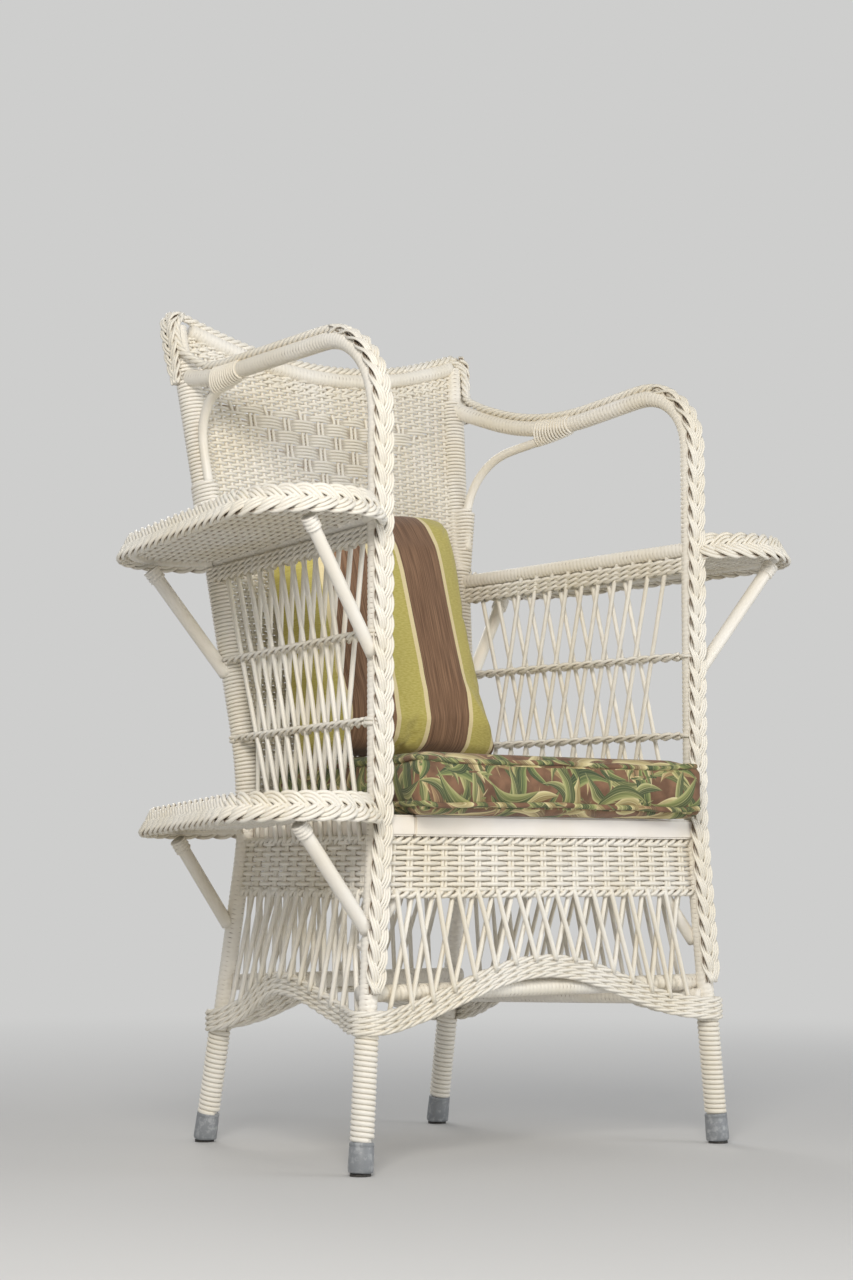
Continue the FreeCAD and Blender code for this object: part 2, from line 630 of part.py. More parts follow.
# Shelves: rounded decks with braided rims, hung on the posts and propped by struts
class Shelf:
    """Half-moon in its own frame: X along the posts, Y outwards, Z up, zero at the middle of the rim.

    Its outline runs round two equal circles, one near each post, and is cut off at the side lattice."""

    def __init__(self, side, front, back, reach):
        start, end = (front, back) if side == LEFT else (back, front)
        along = unit(end - start)
        length = (end - start).Length
        self.placement = Placement(start, Rotation(along, unit(UP.cross(along)), UP, "XZY"))
        self.size = 4 * (length + reach)
        front_hub = Vector(d.shelf_front_inset, reach - d.shelf_round, 0)
        back_hub = Vector(length - d.shelf_back_inset, reach - d.shelf_round - d.shelf_taper, 0)
        if side == RIGHT:
            front_hub.x, back_hub.x = length - front_hub.x, length - back_hub.x
        self.hubs = {"front": front_hub, "back": back_hub}

    def drum(self, inset, bottom, top):
        """Slab with the shelf's outline, drawn in by an inset."""
        first, last = sorted(self.hubs.values(), key=lambda hub: hub.x)
        radius = d.shelf_round - inset
        ahead = unit(last - first) * radius
        outer = flat_normal(ahead) * radius
        rise = UP * bottom
        edges = [Part.makeLine(first + outer + rise, last + outer + rise),
                 Part.Arc(last + outer + rise, last + ahead + rise, last - outer + rise).toShape(),
                 Part.makeLine(last - outer + rise, first - outer + rise),
                 Part.Arc(first - outer + rise, first - ahead + rise, first + outer + rise).toShape()]
        return Part.Face(Part.Wire(edges)).extrude(UP * (top - bottom))

    def outside(self, solid, inner):
        """Keep what lies outward of the lattice or rail that the shelf is hung on."""
        corner = Vector(-self.size / 2, inner, -self.size / 2)
        return solid.common(Part.makeBox(self.size, self.size, self.size, corner))

    def placed(self, solid):
        moved = solid.copy()
        moved.Placement = self.placement
        return moved

    def rim(self, gap):
        bottom, top = -d.rim_height / 2, d.rim_height / 2
        ring = self.drum(0, bottom, top).cut(self.drum(d.rim_thickness, bottom, top))
        return self.placed(self.outside(ring, LATTICE_HALF + gap))

    def deck(self, gap):
        """Rows of weave as a thin slab, with the stakes that they cross standing proud of it."""
        inset = d.rim_thickness + d.clearance
        rows = self.drum(inset, -d.deck_thickness / 2, d.deck_thickness / 2)
        room = self.drum(inset, -d.stake_diameter / 2, d.stake_diameter / 2)
        low, high = room.BoundBox.XMin, room.BoundBox.XMax
        count = round((high - low) / d.deck_stake_pitch)
        stakes = []
        for index in range(count):
            start = Vector(low + (high - low) * (index + 0.5) / count, -self.size / 2, 0)
            stake = Part.makeCylinder(d.stake_diameter / 2, self.size, start, Vector(0, 1, 0))
            stakes.append(stake.common(room))
        return self.placed(self.outside(rows.fuse(stakes), LATTICE_HALF + gap))

    def strut(self, foot, end, tools):
        """Strut from a post to the underside of the rim at one end of the shelf."""
        hub = self.hubs[end]
        middle = (self.hubs["front"].x + self.hubs["back"].x) / 2
        angle = math.radians(d.strut_spread)
        tip = Vector(math.copysign(math.cos(angle), hub.x - middle), math.sin(angle), 0)
        head = self.placement.multVec(hub + tip * (d.shelf_round - d.rim_thickness / 2))
        above = Part.makeBox(self.size, self.size, d.rim_height,
                             Vector(-self.size / 2, -self.size / 2, -d.rim_height / 2 - d.clearance))
        return trimmed(pole([foot, head], [], d.strut_diameter), self.placed(above), *tools)


def add_shelf(name, side, ends, reach, gaps, strut_foot, tools):
    rim_gap, deck_gap = gaps
    shelf = Shelf(side, *ends, reach)
    tools = [*tools, braid(side, d.clearance), *ALL_POSTS]
    add_shape(f"shelf_rim_{name}", trimmed(shelf.rim(rim_gap), *tools))
    add_shape(f"shelf_deck_{name}", trimmed(shelf.deck(deck_gap), *tools))
    struts = [shelf.strut(front_axis(side, strut_foot), "front", tools),
              shelf.strut(back_axis(side, strut_foot), "back", tools)]
    add_shape(f"shelf_struts_{name}", Part.makeCompound(struts))


for name, side in SIDES:
    rail_tool = pole(arm_rail[side], [], d.arm_rail_diameter + 2 * d.clearance)
    add_shelf(f"upper_{name}", side, arm_rail[side], d.upper_shelf_reach, (d.clearance, d.clearance),
              d.upper_strut_foot, [rail_tool])
lower_ends = [front_axis(LEFT, d.lower_shelf_front), back_axis(LEFT, d.lower_shelf_back)]
add_shelf("lower_left", LEFT, lower_ends, d.lower_shelf_reach, (d.lower_rim_gap, d.lower_deck_gap),
          d.lower_strut_foot, [])

# Twisted rope trim over the arms, and over the top of the back from ear to ear
ARM_LIFT = GRIP + d.trim_diameter / 2 + 2 * d.clearance
for name, side in SIDES:
    corner, low, end = arm_route(side, ARM_LIFT)
    foot = Vector(corner.x, corner.y, d.braid_head + 2 * d.clearance)
    bends = [by_side("arm_bend", side) + ARM_LIFT, d.arm_sweep - ARM_LIFT]
    trim = pole([foot, corner, low, end], bends, d.trim_diameter)
    add_shape(f"arm_trim_{name}", trimmed(trim, back_tool[side]))

RAIL_LIFT = (d.top_rail_diameter + d.trim_diameter) / 2 + d.clearance
rail_slope = math.atan2(d.top_dip, d.back_top_half)
ear_route = {}
for name, side in SIDES:
    up_post = unit(back_top(side) - back_knee(side))
    outward = unit(BACK_NORMAL.cross(up_post)) * side
    foot = back_axis(side, d.ear_trim_foot) + outward * ARM_LIFT
    over = back_top(side) + outward * ARM_LIFT
    meeting = rail_slope + up_post.getAngle(BACK_UP)
    rise = RAIL_LIFT / math.cos(meeting) + ARM_LIFT * math.tan(meeting)
    ear_route[side] = [foot, over + up_post * rise]
middle = RAIL_MIDDLE + BACK_UP * (RAIL_LIFT / math.cos(rail_slope))
route = ear_route[LEFT] + [middle] + ear_route[RIGHT][::-1]
top_trim = pole(route, [d.trim_corner, d.top_rail_bend, d.trim_corner], d.trim_diameter)
add_shape("top_trim", top_trim)


# Feet: a ferrule cup on each leg, standing on a round glide
def leg_direction(leg):
    return unit(leg_axis(leg, d.front_knee_height / 2) - leg_axis(leg, 0))


ferrules = []
glides = []
for leg, (axis, side) in LEGS.items():
    start = leg_axis(leg, 0)
    along = leg_direction(leg)
    overrun = along * d.ferrule_diameter
    cup = Part.makeCylinder(d.ferrule_diameter / 2, d.glide_height + d.ferrule_height + d.ferrule_diameter,
                            start - overrun, along)
    bore = front_tool[side] if axis is front_axis else back_tool[side]
    bore = above_floor(bore, d.glide_height + d.ferrule_floor)
    ferrules.append(trimmed(above_floor(cup, d.glide_height), bore))

    glide = doc.addObject("Part::Cylinder", f"glide_{leg}")
    glide.setExpression("Radius", "sizes.glide_diameter / 2")
    glide.setExpression("Height", "sizes.glide_height")
    glide.Placement.Base = start
    glides.append(glide)
add_shape("leg_ferrules", Part.makeCompound(ferrules))
add_group("leg_glides", glides)


# Leg windings: one strand of cane wound from the ferrule up towards the apron
def arc_from(start, tangent, end):
    """Arc that leaves start along a tangent and runs to end."""
    chord = end - start
    aside = unit(tangent - unit(chord) * tangent.dot(unit(chord)))
    sagitta = chord.Length / 2 * math.tan(tangent.getAngle(chord) / 2)
    return Part.Arc(start, (start + end) / 2 + aside * sagitta, end).toShape()


def biarc(start, start_tangent, end, end_tangent):
    """Two arcs that join two points and follow the tangents there."""
    chord = end - start
    both = start_tangent + end_tangent
    spread = 2 * (1 - start_tangent.dot(end_tangent))
    reach = (math.sqrt(chord.dot(both) ** 2 + spread * chord.dot(chord)) - chord.dot(both)) / spread
    joint = (start + end + (start_tangent - end_tangent) * reach) / 2
    return [arc_from(start, start_tangent, joint), arc_from(end, end_tangent * -1, joint)]


def winding(base, along, coil_radius, turns):
    """Helix of half-turn biarcs round an axis, with straight ends one strand long."""
    across = unit(along.cross(Vector(0, 1, 0)))
    over = along.cross(across)
    climb = d.wrap_pitch / (2 * math.pi)
    places = []
    for half_turn in range(2 * turns + 1):
        angle = math.pi * half_turn
        round_axis = across * math.cos(angle) + over * math.sin(angle)
        forward = over * math.cos(angle) - across * math.sin(angle)
        places.append((base + along * (climb * angle) + round_axis * coil_radius,
                       unit(forward * coil_radius + along * climb)))
    first, first_tangent = places[0]
    last, last_tangent = places[-1]
    edges = [Part.makeLine(first - first_tangent * d.wrap_diameter, first)]
    for (start, start_tangent), (end, end_tangent) in zip(places, places[1:]):
        edges += biarc(start, start_tangent, end, end_tangent)
    edges.append(Part.makeLine(last, last + last_tangent * d.wrap_diameter))
    route = Part.Wire(Part.sortEdges(edges)[0])
    corners = []
    for index in range(6):
        angle = math.radians(60 * index)
        side_way = unit(along.cross(first_tangent))
        up_way = first_tangent.cross(side_way)
        corners.append(first - first_tangent * d.wrap_diameter
                       + (side_way * math.cos(angle) + up_way * math.sin(angle)) * (d.wrap_diameter / 2))
    section = Part.makePolygon(corners + corners[:1])
    return route, route.makePipeShell([section], True, False)


def least_gap(route, turns):
    """Least room between a strand and its own next turn, measured on points."""
    steps_per_turn = 24
    points = route.discretize(Number=turns * steps_per_turn)
    nearest = min(a.distanceToPoint(b) for index, a in enumerate(points)
                  for b in points[index + steps_per_turn // 2:index + 2 * steps_per_turn])
    return nearest - d.wrap_diameter


COIL_RADIUS = GRIP + d.wrap_diameter / 2
WRAP_START = d.glide_height + d.ferrule_height + d.wrap_diameter / 2 + d.clearance
for leg, (axis, side) in LEGS.items():
    along = leg_direction(leg)
    turns = int(d.front_wrap_turns if axis is front_axis else d.back_wrap_turns)
    route, strand = winding(leg_axis(leg, 0) + along * WRAP_START, along, COIL_RADIUS, turns)
    add_shape(f"leg_winding_{leg}", strand)
    print(f"{leg} winding: least gap {least_gap(route, turns):.2f} mm")


# Cushions: lofts with drawn-in sides and a crown
def drawn_outline(corners, pulls):
    """Closed outline of four arcs, each pulled in towards the middle by its own amount."""
    centre = (corners[0] + corners[1] + corners[2] + corners[3]) / 4
    edges = []
    for index, pull in enumerate(pulls):
        start, end = corners[index], corners[(index + 1) % 4]
        middle = (start + end) / 2
        if pull:
            edges.append(Part.Arc(start, middle + unit(centre - middle) * pull, end).toShape())
        else:
            edges.append(Part.makeLine(start, end))
    return Part.Wire(edges)


CUSHION_FRONT = d.front_post_y - d.cushion_overhang
CUSHION_BOTTOM = d.seat_height + d.clearance
EDGE_ROUND = 6.0
CROWN_SHOULDER = 40.0


def seat_section(height, inset):
    front, back = CUSHION_FRONT + inset, CUSHION_FRONT + d.cushion_depth - inset
    corners = [Vector(-d.cushion_front_half + inset, front, height),
               Vector(d.cushion_front_half - inset, front, height),
               Vector(d.cushion_back_half - inset, back, height),
               Vector(-d.cushion_back_half + inset, back, height)]
    return drawn_outline(corners, [d.draw_in] * 4)


edge_top = CUSHION_BOTTOM + d.cushion_thickness
levels = [(CUSHION_BOTTOM, EDGE_ROUND), (CUSHION_BOTTOM + EDGE_ROUND, 0), (edge_top - EDGE_ROUND, 0),
          (edge_top, EDGE_ROUND), (edge_top + 0.7 * d.cushion_crown, EDGE_ROUND + CROWN_SHOULDER / 3),
          (edge_top + d.cushion_crown, CROWN_SHOULDER)]
add_shape("seat_cushion", Part.makeLoft([seat_section(*level) for level in levels], True, True))

lean = math.atan2(BACK_UP.y, BACK_UP.z) + math.radians(d.pillow_lean)
PILLOW_UP = Vector(0, math.sin(lean), math.cos(lean))
PILLOW_FRONT = Vector(0, -math.cos(lean), math.sin(lean))
PILLOW_Z = edge_top + d.cushion_crown + d.clearance
pillow_foot = Vector(0, back_axis(RIGHT, PILLOW_Z).y - d.pillow_standoff, PILLOW_Z)


def pillow_section(share, bulge):
    """Outline of the back cushion at a share of its bulge from the seam."""
    inset = d.pillow_shoulder * (1 - math.sqrt(1 - share ** 2))
    base = pillow_foot + PILLOW_FRONT * (share * bulge)
    low, high = PILLOW_UP * inset, PILLOW_UP * (d.pillow_height - inset)
    half = Vector(d.pillow_half_width - inset, 0, 0)
    corners = [base + low - half, base + low + half, base + high + half, base + high - half]
    return drawn_outline(corners, [0, d.draw_in, d.draw_in, d.draw_in])


BULGE_SHARES = (0.4, 0.75, 0.95, 1.0)
sections = [pillow_section(share, -d.pillow_back_bulge) for share in reversed(BULGE_SHARES)]
sections.append(pillow_section(0, 0))
sections += [pillow_section(share, d.pillow_front_bulge) for share in BULGE_SHARES]
add_shape("back_cushion", Part.makeLoft(sections, True, True))

# Every piece is checked before any file is written
doc.recompute()
for item in doc.Objects:
    if "Invalid" in item.State or "Error" in item.State:
        raise RuntimeError(f"{item.Label} did not build: {item.State}")
for node in nodes:
    if node.Shape.isNull() or not node.Shape.isValid() or not node.Shape.Solids:
        raise RuntimeError(f"{node.Label} has no valid shape")

os.makedirs("parts", exist_ok=True)
for node in nodes:
    node.Shape.exportStep(f"parts/{node.Label}.step")
whole = FreeCAD.BoundBox()
for node in nodes:
    whole.add(node.Shape.optimalBoundingBox(False))
print(f"{len(nodes)} sub-parts, {whole.XLength:.1f} x {whole.YLength:.1f} x {whole.ZLength:.1f} mm")
print(f"middle {whole.Center.x:.2f}, {whole.Center.y:.2f}, floor {whole.ZMin:.2f}")
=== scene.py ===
# %% [markdown]
# # A painted wicker armchair with side shelves
#
# The chair is a frame of bent rattan poles, dressed by a weaver: cane wound round the poles, reeds woven
# into panels, and plaits and twisted ropes sewn over every edge. The whole is brushed with warm white
# paint, and two loose cushions lie on it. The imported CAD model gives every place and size. This lesson
# replaces its plain solids with the real reeds.

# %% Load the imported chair
import math

import bmesh
import bpy
import numpy as np
from mathutils.bvhtree import BVHTree
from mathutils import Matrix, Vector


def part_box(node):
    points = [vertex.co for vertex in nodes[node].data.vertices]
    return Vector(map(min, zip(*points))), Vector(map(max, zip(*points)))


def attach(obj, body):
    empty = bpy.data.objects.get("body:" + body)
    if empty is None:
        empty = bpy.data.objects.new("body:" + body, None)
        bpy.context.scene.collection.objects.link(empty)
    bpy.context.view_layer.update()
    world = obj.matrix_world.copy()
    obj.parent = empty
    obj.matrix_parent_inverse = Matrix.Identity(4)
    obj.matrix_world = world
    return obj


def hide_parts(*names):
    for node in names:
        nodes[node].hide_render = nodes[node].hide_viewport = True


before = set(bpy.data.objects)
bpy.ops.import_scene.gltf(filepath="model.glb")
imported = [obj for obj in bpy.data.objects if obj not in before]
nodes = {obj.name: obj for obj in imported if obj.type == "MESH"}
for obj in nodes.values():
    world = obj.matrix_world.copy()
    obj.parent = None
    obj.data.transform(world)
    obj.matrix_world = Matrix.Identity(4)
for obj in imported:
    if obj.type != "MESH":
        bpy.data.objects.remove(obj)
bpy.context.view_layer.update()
MM = 0.001
SIDES = ("left", "right")
chance = np.random.default_rng(7)

# %% [markdown]
# ## Camera and light
#
# The photograph was taken from the chair's front left corner, low down, with a long lens. Its place
# was worked out from the chair's own corners. Three soft lamps light the paint evenly: a key on the
# viewer's left that shapes the reeds, a broad fill on the right, and one behind for the edges. One lamp
# would leave the woven back flat, and bare sunlight would bleach the paint.

# %% Camera and lamps
LENS_MM = 76.1
SENSOR_MM = 36.0
CAMERA_PLACE = (-2.2037, -2.5792, 0.3374)
CAMERA_PITCH = math.radians(94.894)
CAMERA_HEADING = math.radians(-40.319)
scene = bpy.context.scene
scene.view_settings.view_transform = "Standard"
camera_data = bpy.data.cameras.new("camera")
camera_data.lens = LENS_MM
camera_data.sensor_width = SENSOR_MM
camera = bpy.data.objects.new("camera", camera_data)
camera.location = CAMERA_PLACE
camera.rotation_euler = (CAMERA_PITCH, 0.0, CAMERA_HEADING)
scene.collection.objects.link(camera)
scene.camera = camera


def soft_lamp(name, place, target, size, watts, tint):
    """A round area lamp that faces a target."""
    data = bpy.data.lights.new(name, "AREA")
    data.shape = "DISK"
    data.size = size
    data.energy = watts
    data.color = tint
    lamp = bpy.data.objects.new(name, data)
    lamp.location = place
    aim = np.array(target) - np.array(place)
    lamp.rotation_euler = (
        math.acos(-aim[2] / np.linalg.norm(aim)), 0.0, math.atan2(aim[1], aim[0]) - math.pi / 2
    )
    scene.collection.objects.link(lamp)


CHEST = (0.0, 0.0, 0.55)
soft_lamp("key_lamp", (-1.8, -1.95, 1.6), CHEST, 0.9, 46.0, (1.0, 0.965, 0.91))
soft_lamp("fill_lamp", (1.5, -2.5, 0.8), CHEST, 1.6, 22.0, (0.96, 0.98, 1.0))
soft_lamp("rim_lamp", (0.9, 2.2, 1.9), CHEST, 1.4, 16.0, (1.0, 0.98, 0.95))
print("camera and three lamps placed")

# %% [markdown]
# ## Shader maths in Python
#
# A finish is a small graph of nodes. Wrapping a socket in a class lets the graph be written as sums:
# each operator adds a Math node, and `mix` blends two colours by a mask.


# %% A socket with operators
class Shade:
    """A socket of a node tree, or the tree alone, where an expression starts."""

    def __init__(self, tree, socket=None):
        self.tree = tree
        self.socket = socket

    def node(self, kind, settings=None, inputs=None, output=0):
        """Any node: its type, its settings, and the values or links of its sockets."""
        made = self.tree.nodes.new(kind)
        for name, value in (settings or {}).items():
            setattr(made, name, value)
        for key, value in (inputs or {}).items():
            if isinstance(value, Shade):
                self.tree.links.new(value.socket, made.inputs[key])
            else:
                made.inputs[key].default_value = value
        return Shade(self.tree, made.outputs[output])

    def maths(self, operation, *values):
        return self.node("ShaderNodeMath", {"operation": operation}, dict(enumerate(values)))

    def __add__(self, other):
        return self.maths("ADD", self, other)

    def __sub__(self, other):
        return self.maths("SUBTRACT", self, other)

    def __rsub__(self, other):
        return self.maths("SUBTRACT", other, self)

    def __mul__(self, other):
        return self.maths("MULTIPLY", self, other)

    def __truediv__(self, other):
        return self.maths("DIVIDE", self, other)

    def __mod__(self, other):
        return self.maths("FLOORED_MODULO", self, other)

    def __pow__(self, other):
        return self.maths("POWER", self, other)

    def __gt__(self, other):
        return self.maths("GREATER_THAN", self, other)

    def __lt__(self, other):
        return self.maths("LESS_THAN", self, other)

    def __abs__(self):
        return self.maths("ABSOLUTE", self)

    __radd__ = __add__
    __rmul__ = __mul__

    def ramp(self, low, high):
        sockets = {"Value": self, "From Min": low, "From Max": high}
        return self.node("ShaderNodeMapRange", {"interpolation_type": "SMOOTHSTEP"}, sockets)

    def mix(self, plain, masked):
        sockets = {0: self, 6: plain, 7: masked}
        return self.node("ShaderNodeMix", {"data_type": "RGBA"}, sockets, 2)

    def noise(self, place, scale, detail=3.0, rough=0.5):
        sockets = {"Vector": place, "Scale": scale, "Detail": detail, "Roughness": rough}
        return self.node("ShaderNodeTexNoise", None, sockets)

    def bump(self, strength, distance):
        sockets = {"Strength": strength, "Distance": distance, "Height": self}
        return self.node("ShaderNodeBump", None, sockets)


def colour(red, green, blue):
    """A colour as it is read off a screen, 0 to 255, in the linear light that shaders use."""
    screen = np.array([red, green, blue]) / 255
    linear = np.where(screen <= 0.04045, screen / 12.92, ((screen + 0.055) / 1.055) ** 2.4)
    return (*linear.tolist(), 1.0)


def finish(name, roughness=0.5):
    """A new material, its start for shader maths, its part coordinates and its shader's sockets."""
    material = bpy.data.materials.new(name)
    material.use_nodes = True
    shader = material.node_tree.nodes["Principled BSDF"]
    shader.inputs["Roughness"].default_value = roughness
    start = Shade(material.node_tree)
    place = start.node("ShaderNodeTexCoord", None, None, 3)
    return material, start, place, shader.inputs


def wire(shade, socket):
    """Link a value to a socket of a shader."""
    shade.tree.links.new(shade.socket, socket)


# %% [markdown]
# ## White paint
#
# Many coats of brush paint have left the reeds warm white and a little uneven. Dust has settled where
# reeds cross, and shade falls there and on the hidden side of each reed. Each reed carries an attribute
# called crevice that says how deep or how hidden a point lies, and the paint darkens to brown there: real
# dust and painted shade in one. Crests are rubbed: a few show the cane under the paint. A picture of old
# paint would show its seams, so the marks come from noise in the part's own coordinates.


# %% Paint for reeds, poles and boards
# The brown of dust, and of painted shade in hollows and on the hidden sides of reeds.
DUST_AND_SHADE = colour(118, 92, 62)
BARE_CANE = colour(196, 172, 132)
YELLOWING = (7, 10, 17)


def white_paint(name, tone, brush_scale):
    """Brushed white paint, yellowed in clouds, dusty and painted with shade in crevices, rubbed on crests.
    """
    material, start, place, sockets = finish(name)
    crevice = start.node("ShaderNodeAttribute", {"attribute_name": "crevice"}, None, 2)
    cloud = start.noise(place, 9.0)
    mottle = start.noise(place, 90.0, 4.0)
    grain = start.noise(place, brush_scale, 2.0)
    # Dust and painted shade: the paint turns brown where the crevice value is high, in hollows and on
    # hidden sides.
    dust_and_shade = (crevice + (mottle - 0.5) * 0.5).ramp(0.42, 1.0) * 0.85
    rubbed = start.noise(place, 34.0, 5.0, 0.7).ramp(0.70, 0.78) * (1 - crevice) * 0.55
    yellowed = [bright - loss for bright, loss in zip(tone, YELLOWING)]
    aged = cloud.ramp(0.35, 0.7).mix(colour(*tone), colour(*yellowed))
    wire(rubbed.mix(dust_and_shade.mix(aged, DUST_AND_SHADE), BARE_CANE), sockets["Base Color"])
    wire(0.42 + dust_and_shade * 0.35 + (mottle - 0.5) * 0.2, sockets["Roughness"])
    wire((grain + mottle * 0.6).bump(0.25, 0.6 * MM), sockets["Normal"])
    return material


reed_paint = white_paint("reed_paint", (240, 235, 224), 420.0)
pole_paint = white_paint("pole_paint", (243, 238, 228), 260.0)
board_paint = white_paint("board_paint", (244, 238, 230), 150.0)
print("paint mixed")

# %% [markdown]
# ## Reading lines off the CAD
#
# Every reed follows something in the frame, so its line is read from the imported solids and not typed
# again. A node can hold many loose solids, which are told apart by following their edges. A straight
# rod's two ends are the middles of the points at either end of its longest direction.


# %% Solids and rods
ROD_TIP = 4 * MM


def unit(vectors):
    """The same directions at length 1."""
    return vectors / np.maximum(np.linalg.norm(vectors, axis=-1, keepdims=True), 1e-12)


def cad_points(node):
    """All points of a CAD node."""
    return np.array([vertex.co for vertex in nodes[node].data.vertices])


def solids_of(node):
    """The points of each separate solid in a CAD node, lowest and leftmost first."""
    points = cad_points(node)
    spots, place = np.unique(np.round(points, 5), axis=0, return_inverse=True)
    place = place.reshape(-1)
    owner = np.arange(len(spots))
    edges = np.array([edge.vertices[:] for edge in nodes[node].data.edges])
    first, last = place[edges[:, 0]], place[edges[:, 1]]
    settled = False
    while not settled:
        lowest = np.minimum(owner[first], owner[last])
        before = owner.copy()
        np.minimum.at(owner, first, lowest)
        np.minimum.at(owner, last, lowest)
        owner = owner[owner]
        settled = bool((owner == before).all())
    found = [spots[owner == mark] for mark in np.unique(owner)]
    return sorted(found, key=lambda solid: tuple(np.round(solid.mean(axis=0), 3)))


def rod_ends(solid):
    """Both end centres of a straight rod."""
    middle = solid.mean(axis=0)
    axis = np.linalg.svd(solid - middle, full_matrices=False)[2][0]
    reach = (solid - middle) @ axis
    near = reach < reach.min() + ROD_TIP
    far = reach > reach.max() - ROD_TIP
    ends = [solid[near].mean(axis=0), solid[far].mean(axis=0)]
    return sorted(ends, key=lambda end: end[2])


def rod_radius(solid, ends):
    """How thick a rod is, from the distance of its points to its axis."""
    axis = unit(ends[1] - ends[0])
    away = solid - ends[0]
    return float(np.median(np.linalg.norm(away - (away @ axis)[:, None] * axis, axis=1)))


def rods(node):
    """The two ends and the radius of each straight rod in a node."""
    found = []
    for solid in solids_of(node):
        ends = rod_ends(solid)
        found.append((ends[0], ends[1], rod_radius(solid, ends)))
    return found


# %% [markdown]
# ## Tracing a bent pole
#
# A post that bends over into an arm has no straight axis to measure along. A cutting plane steps along it
# instead: the middle of each cut is the next point of the centre line, and the last points give the way
# the plane turns next.


# %% Centre lines of the posts
FEWEST_CUTS = 6
FOOT_LIFT = 3 * MM
STEEP = 0.1


def trace(node, start, heading, step=6 * MM, reach=30 * MM):
    """The centre line of a bent pole, from a point near its start."""
    points = cad_points(node)
    edges = np.array([edge.vertices[:] for edge in nodes[node].data.edges])
    first, last = points[edges[:, 0]], points[edges[:, 1]]
    here = np.array(start, float)
    heading = unit(np.array(heading, float))
    line = []
    while True:
        before = (first - here) @ heading
        after = (last - here) @ heading
        crossing = before * after < 0
        share = before[crossing] / (before[crossing] - after[crossing])
        cuts = first[crossing] + share[:, None] * (last[crossing] - first[crossing])
        cuts = cuts[np.linalg.norm(cuts - here, axis=1) < reach] - here
        if len(cuts) < FEWEST_CUTS:
            return np.array(line)
        across = unit(np.cross(heading, heading[[1, 2, 0]] + 0.1))
        upright = np.cross(heading, across)
        for axis in (across, upright):
            spread = cuts @ axis
            here = here + axis * (spread.min() + spread.max()) / 2
        line.append(here)
        if len(line) > 2:
            heading = unit(line[-1] - line[-3])
        here = here + heading * step


def smooth(line, passes=6):
    """A line with its kinks averaged out. Its ends stay."""
    line = np.array(line)
    for _ in range(passes):
        line[1:-1] = (line[:-2] + 2 * line[1:-1] + line[2:]) / 4
    return line


post_lines = {}
for side in SIDES:
    for place in ("front", "back"):
        name = f"{place}_post_{side}"
        points = cad_points(name)
        sole = points[points[:, 2] < points[:, 2].min() + 1 * MM]
        foot = (sole.min(axis=0) + sole.max(axis=0)) / 2
        post_lines[place, side] = smooth(trace(name, foot + (0, 0, FOOT_LIFT), (0.0, 0.0, 1.0)))
        print(name, "centre line of", len(post_lines[place, side]), "points")


def climb_end(line):
    """The first point of a post's line that no longer climbs: the start of its arm."""
    climbing = unit(np.gradient(line, axis=0))[:, 2] > STEEP
    return len(line) if climbing.all() else int(np.argmin(climbing))


def post_at(place, side, height):
    """The centre of a post at a height, below its arm."""
    line = post_lines[place, side]
    upright = line[: climb_end(line)]
    return np.array([np.interp(height, upright[:, 2], upright[:, axis]) for axis in range(3)])


# %% [markdown]
# ## Routes
#
# Everything a weaver adds runs along something: a rope along an arm, a plait round a shelf. A route is
# such a line with a sense of direction at each point, so that a place can be given as so far along, so
# far to the side and so far out.


# %% A route
class Route:
    """A line measured along its length, with the side direction and the one that faces out."""

    def __init__(self, points, out):
        self.points = np.array(points, float)
        tangent = unit(np.gradient(self.points, axis=0))
        self.side = unit(np.cross(tangent, np.broadcast_to(out, self.points.shape)))
        self.out = np.cross(self.side, tangent)
        gaps = np.linalg.norm(np.diff(self.points, axis=0), axis=1)
        self.along = np.concatenate([[0.0], np.cumsum(gaps)])
        self.length = float(self.along[-1])

    def read(self, values, s):
        """Values that were given at the route's points, at distances along it."""
        return np.stack([np.interp(s, self.along, values[:, axis]) for axis in range(3)], axis=-1)

    def place(self, s, across=0.0, proud=0.0):
        """Points beside the route: so far along, so far across and so far out."""
        s = np.asarray(s, float)
        across = np.broadcast_to(across, s.shape)[..., None]
        proud = np.broadcast_to(proud, s.shape)[..., None]
        spot = self.read(self.points, s)
        return spot + across * self.read(self.side, s) + proud * self.read(self.out, s)
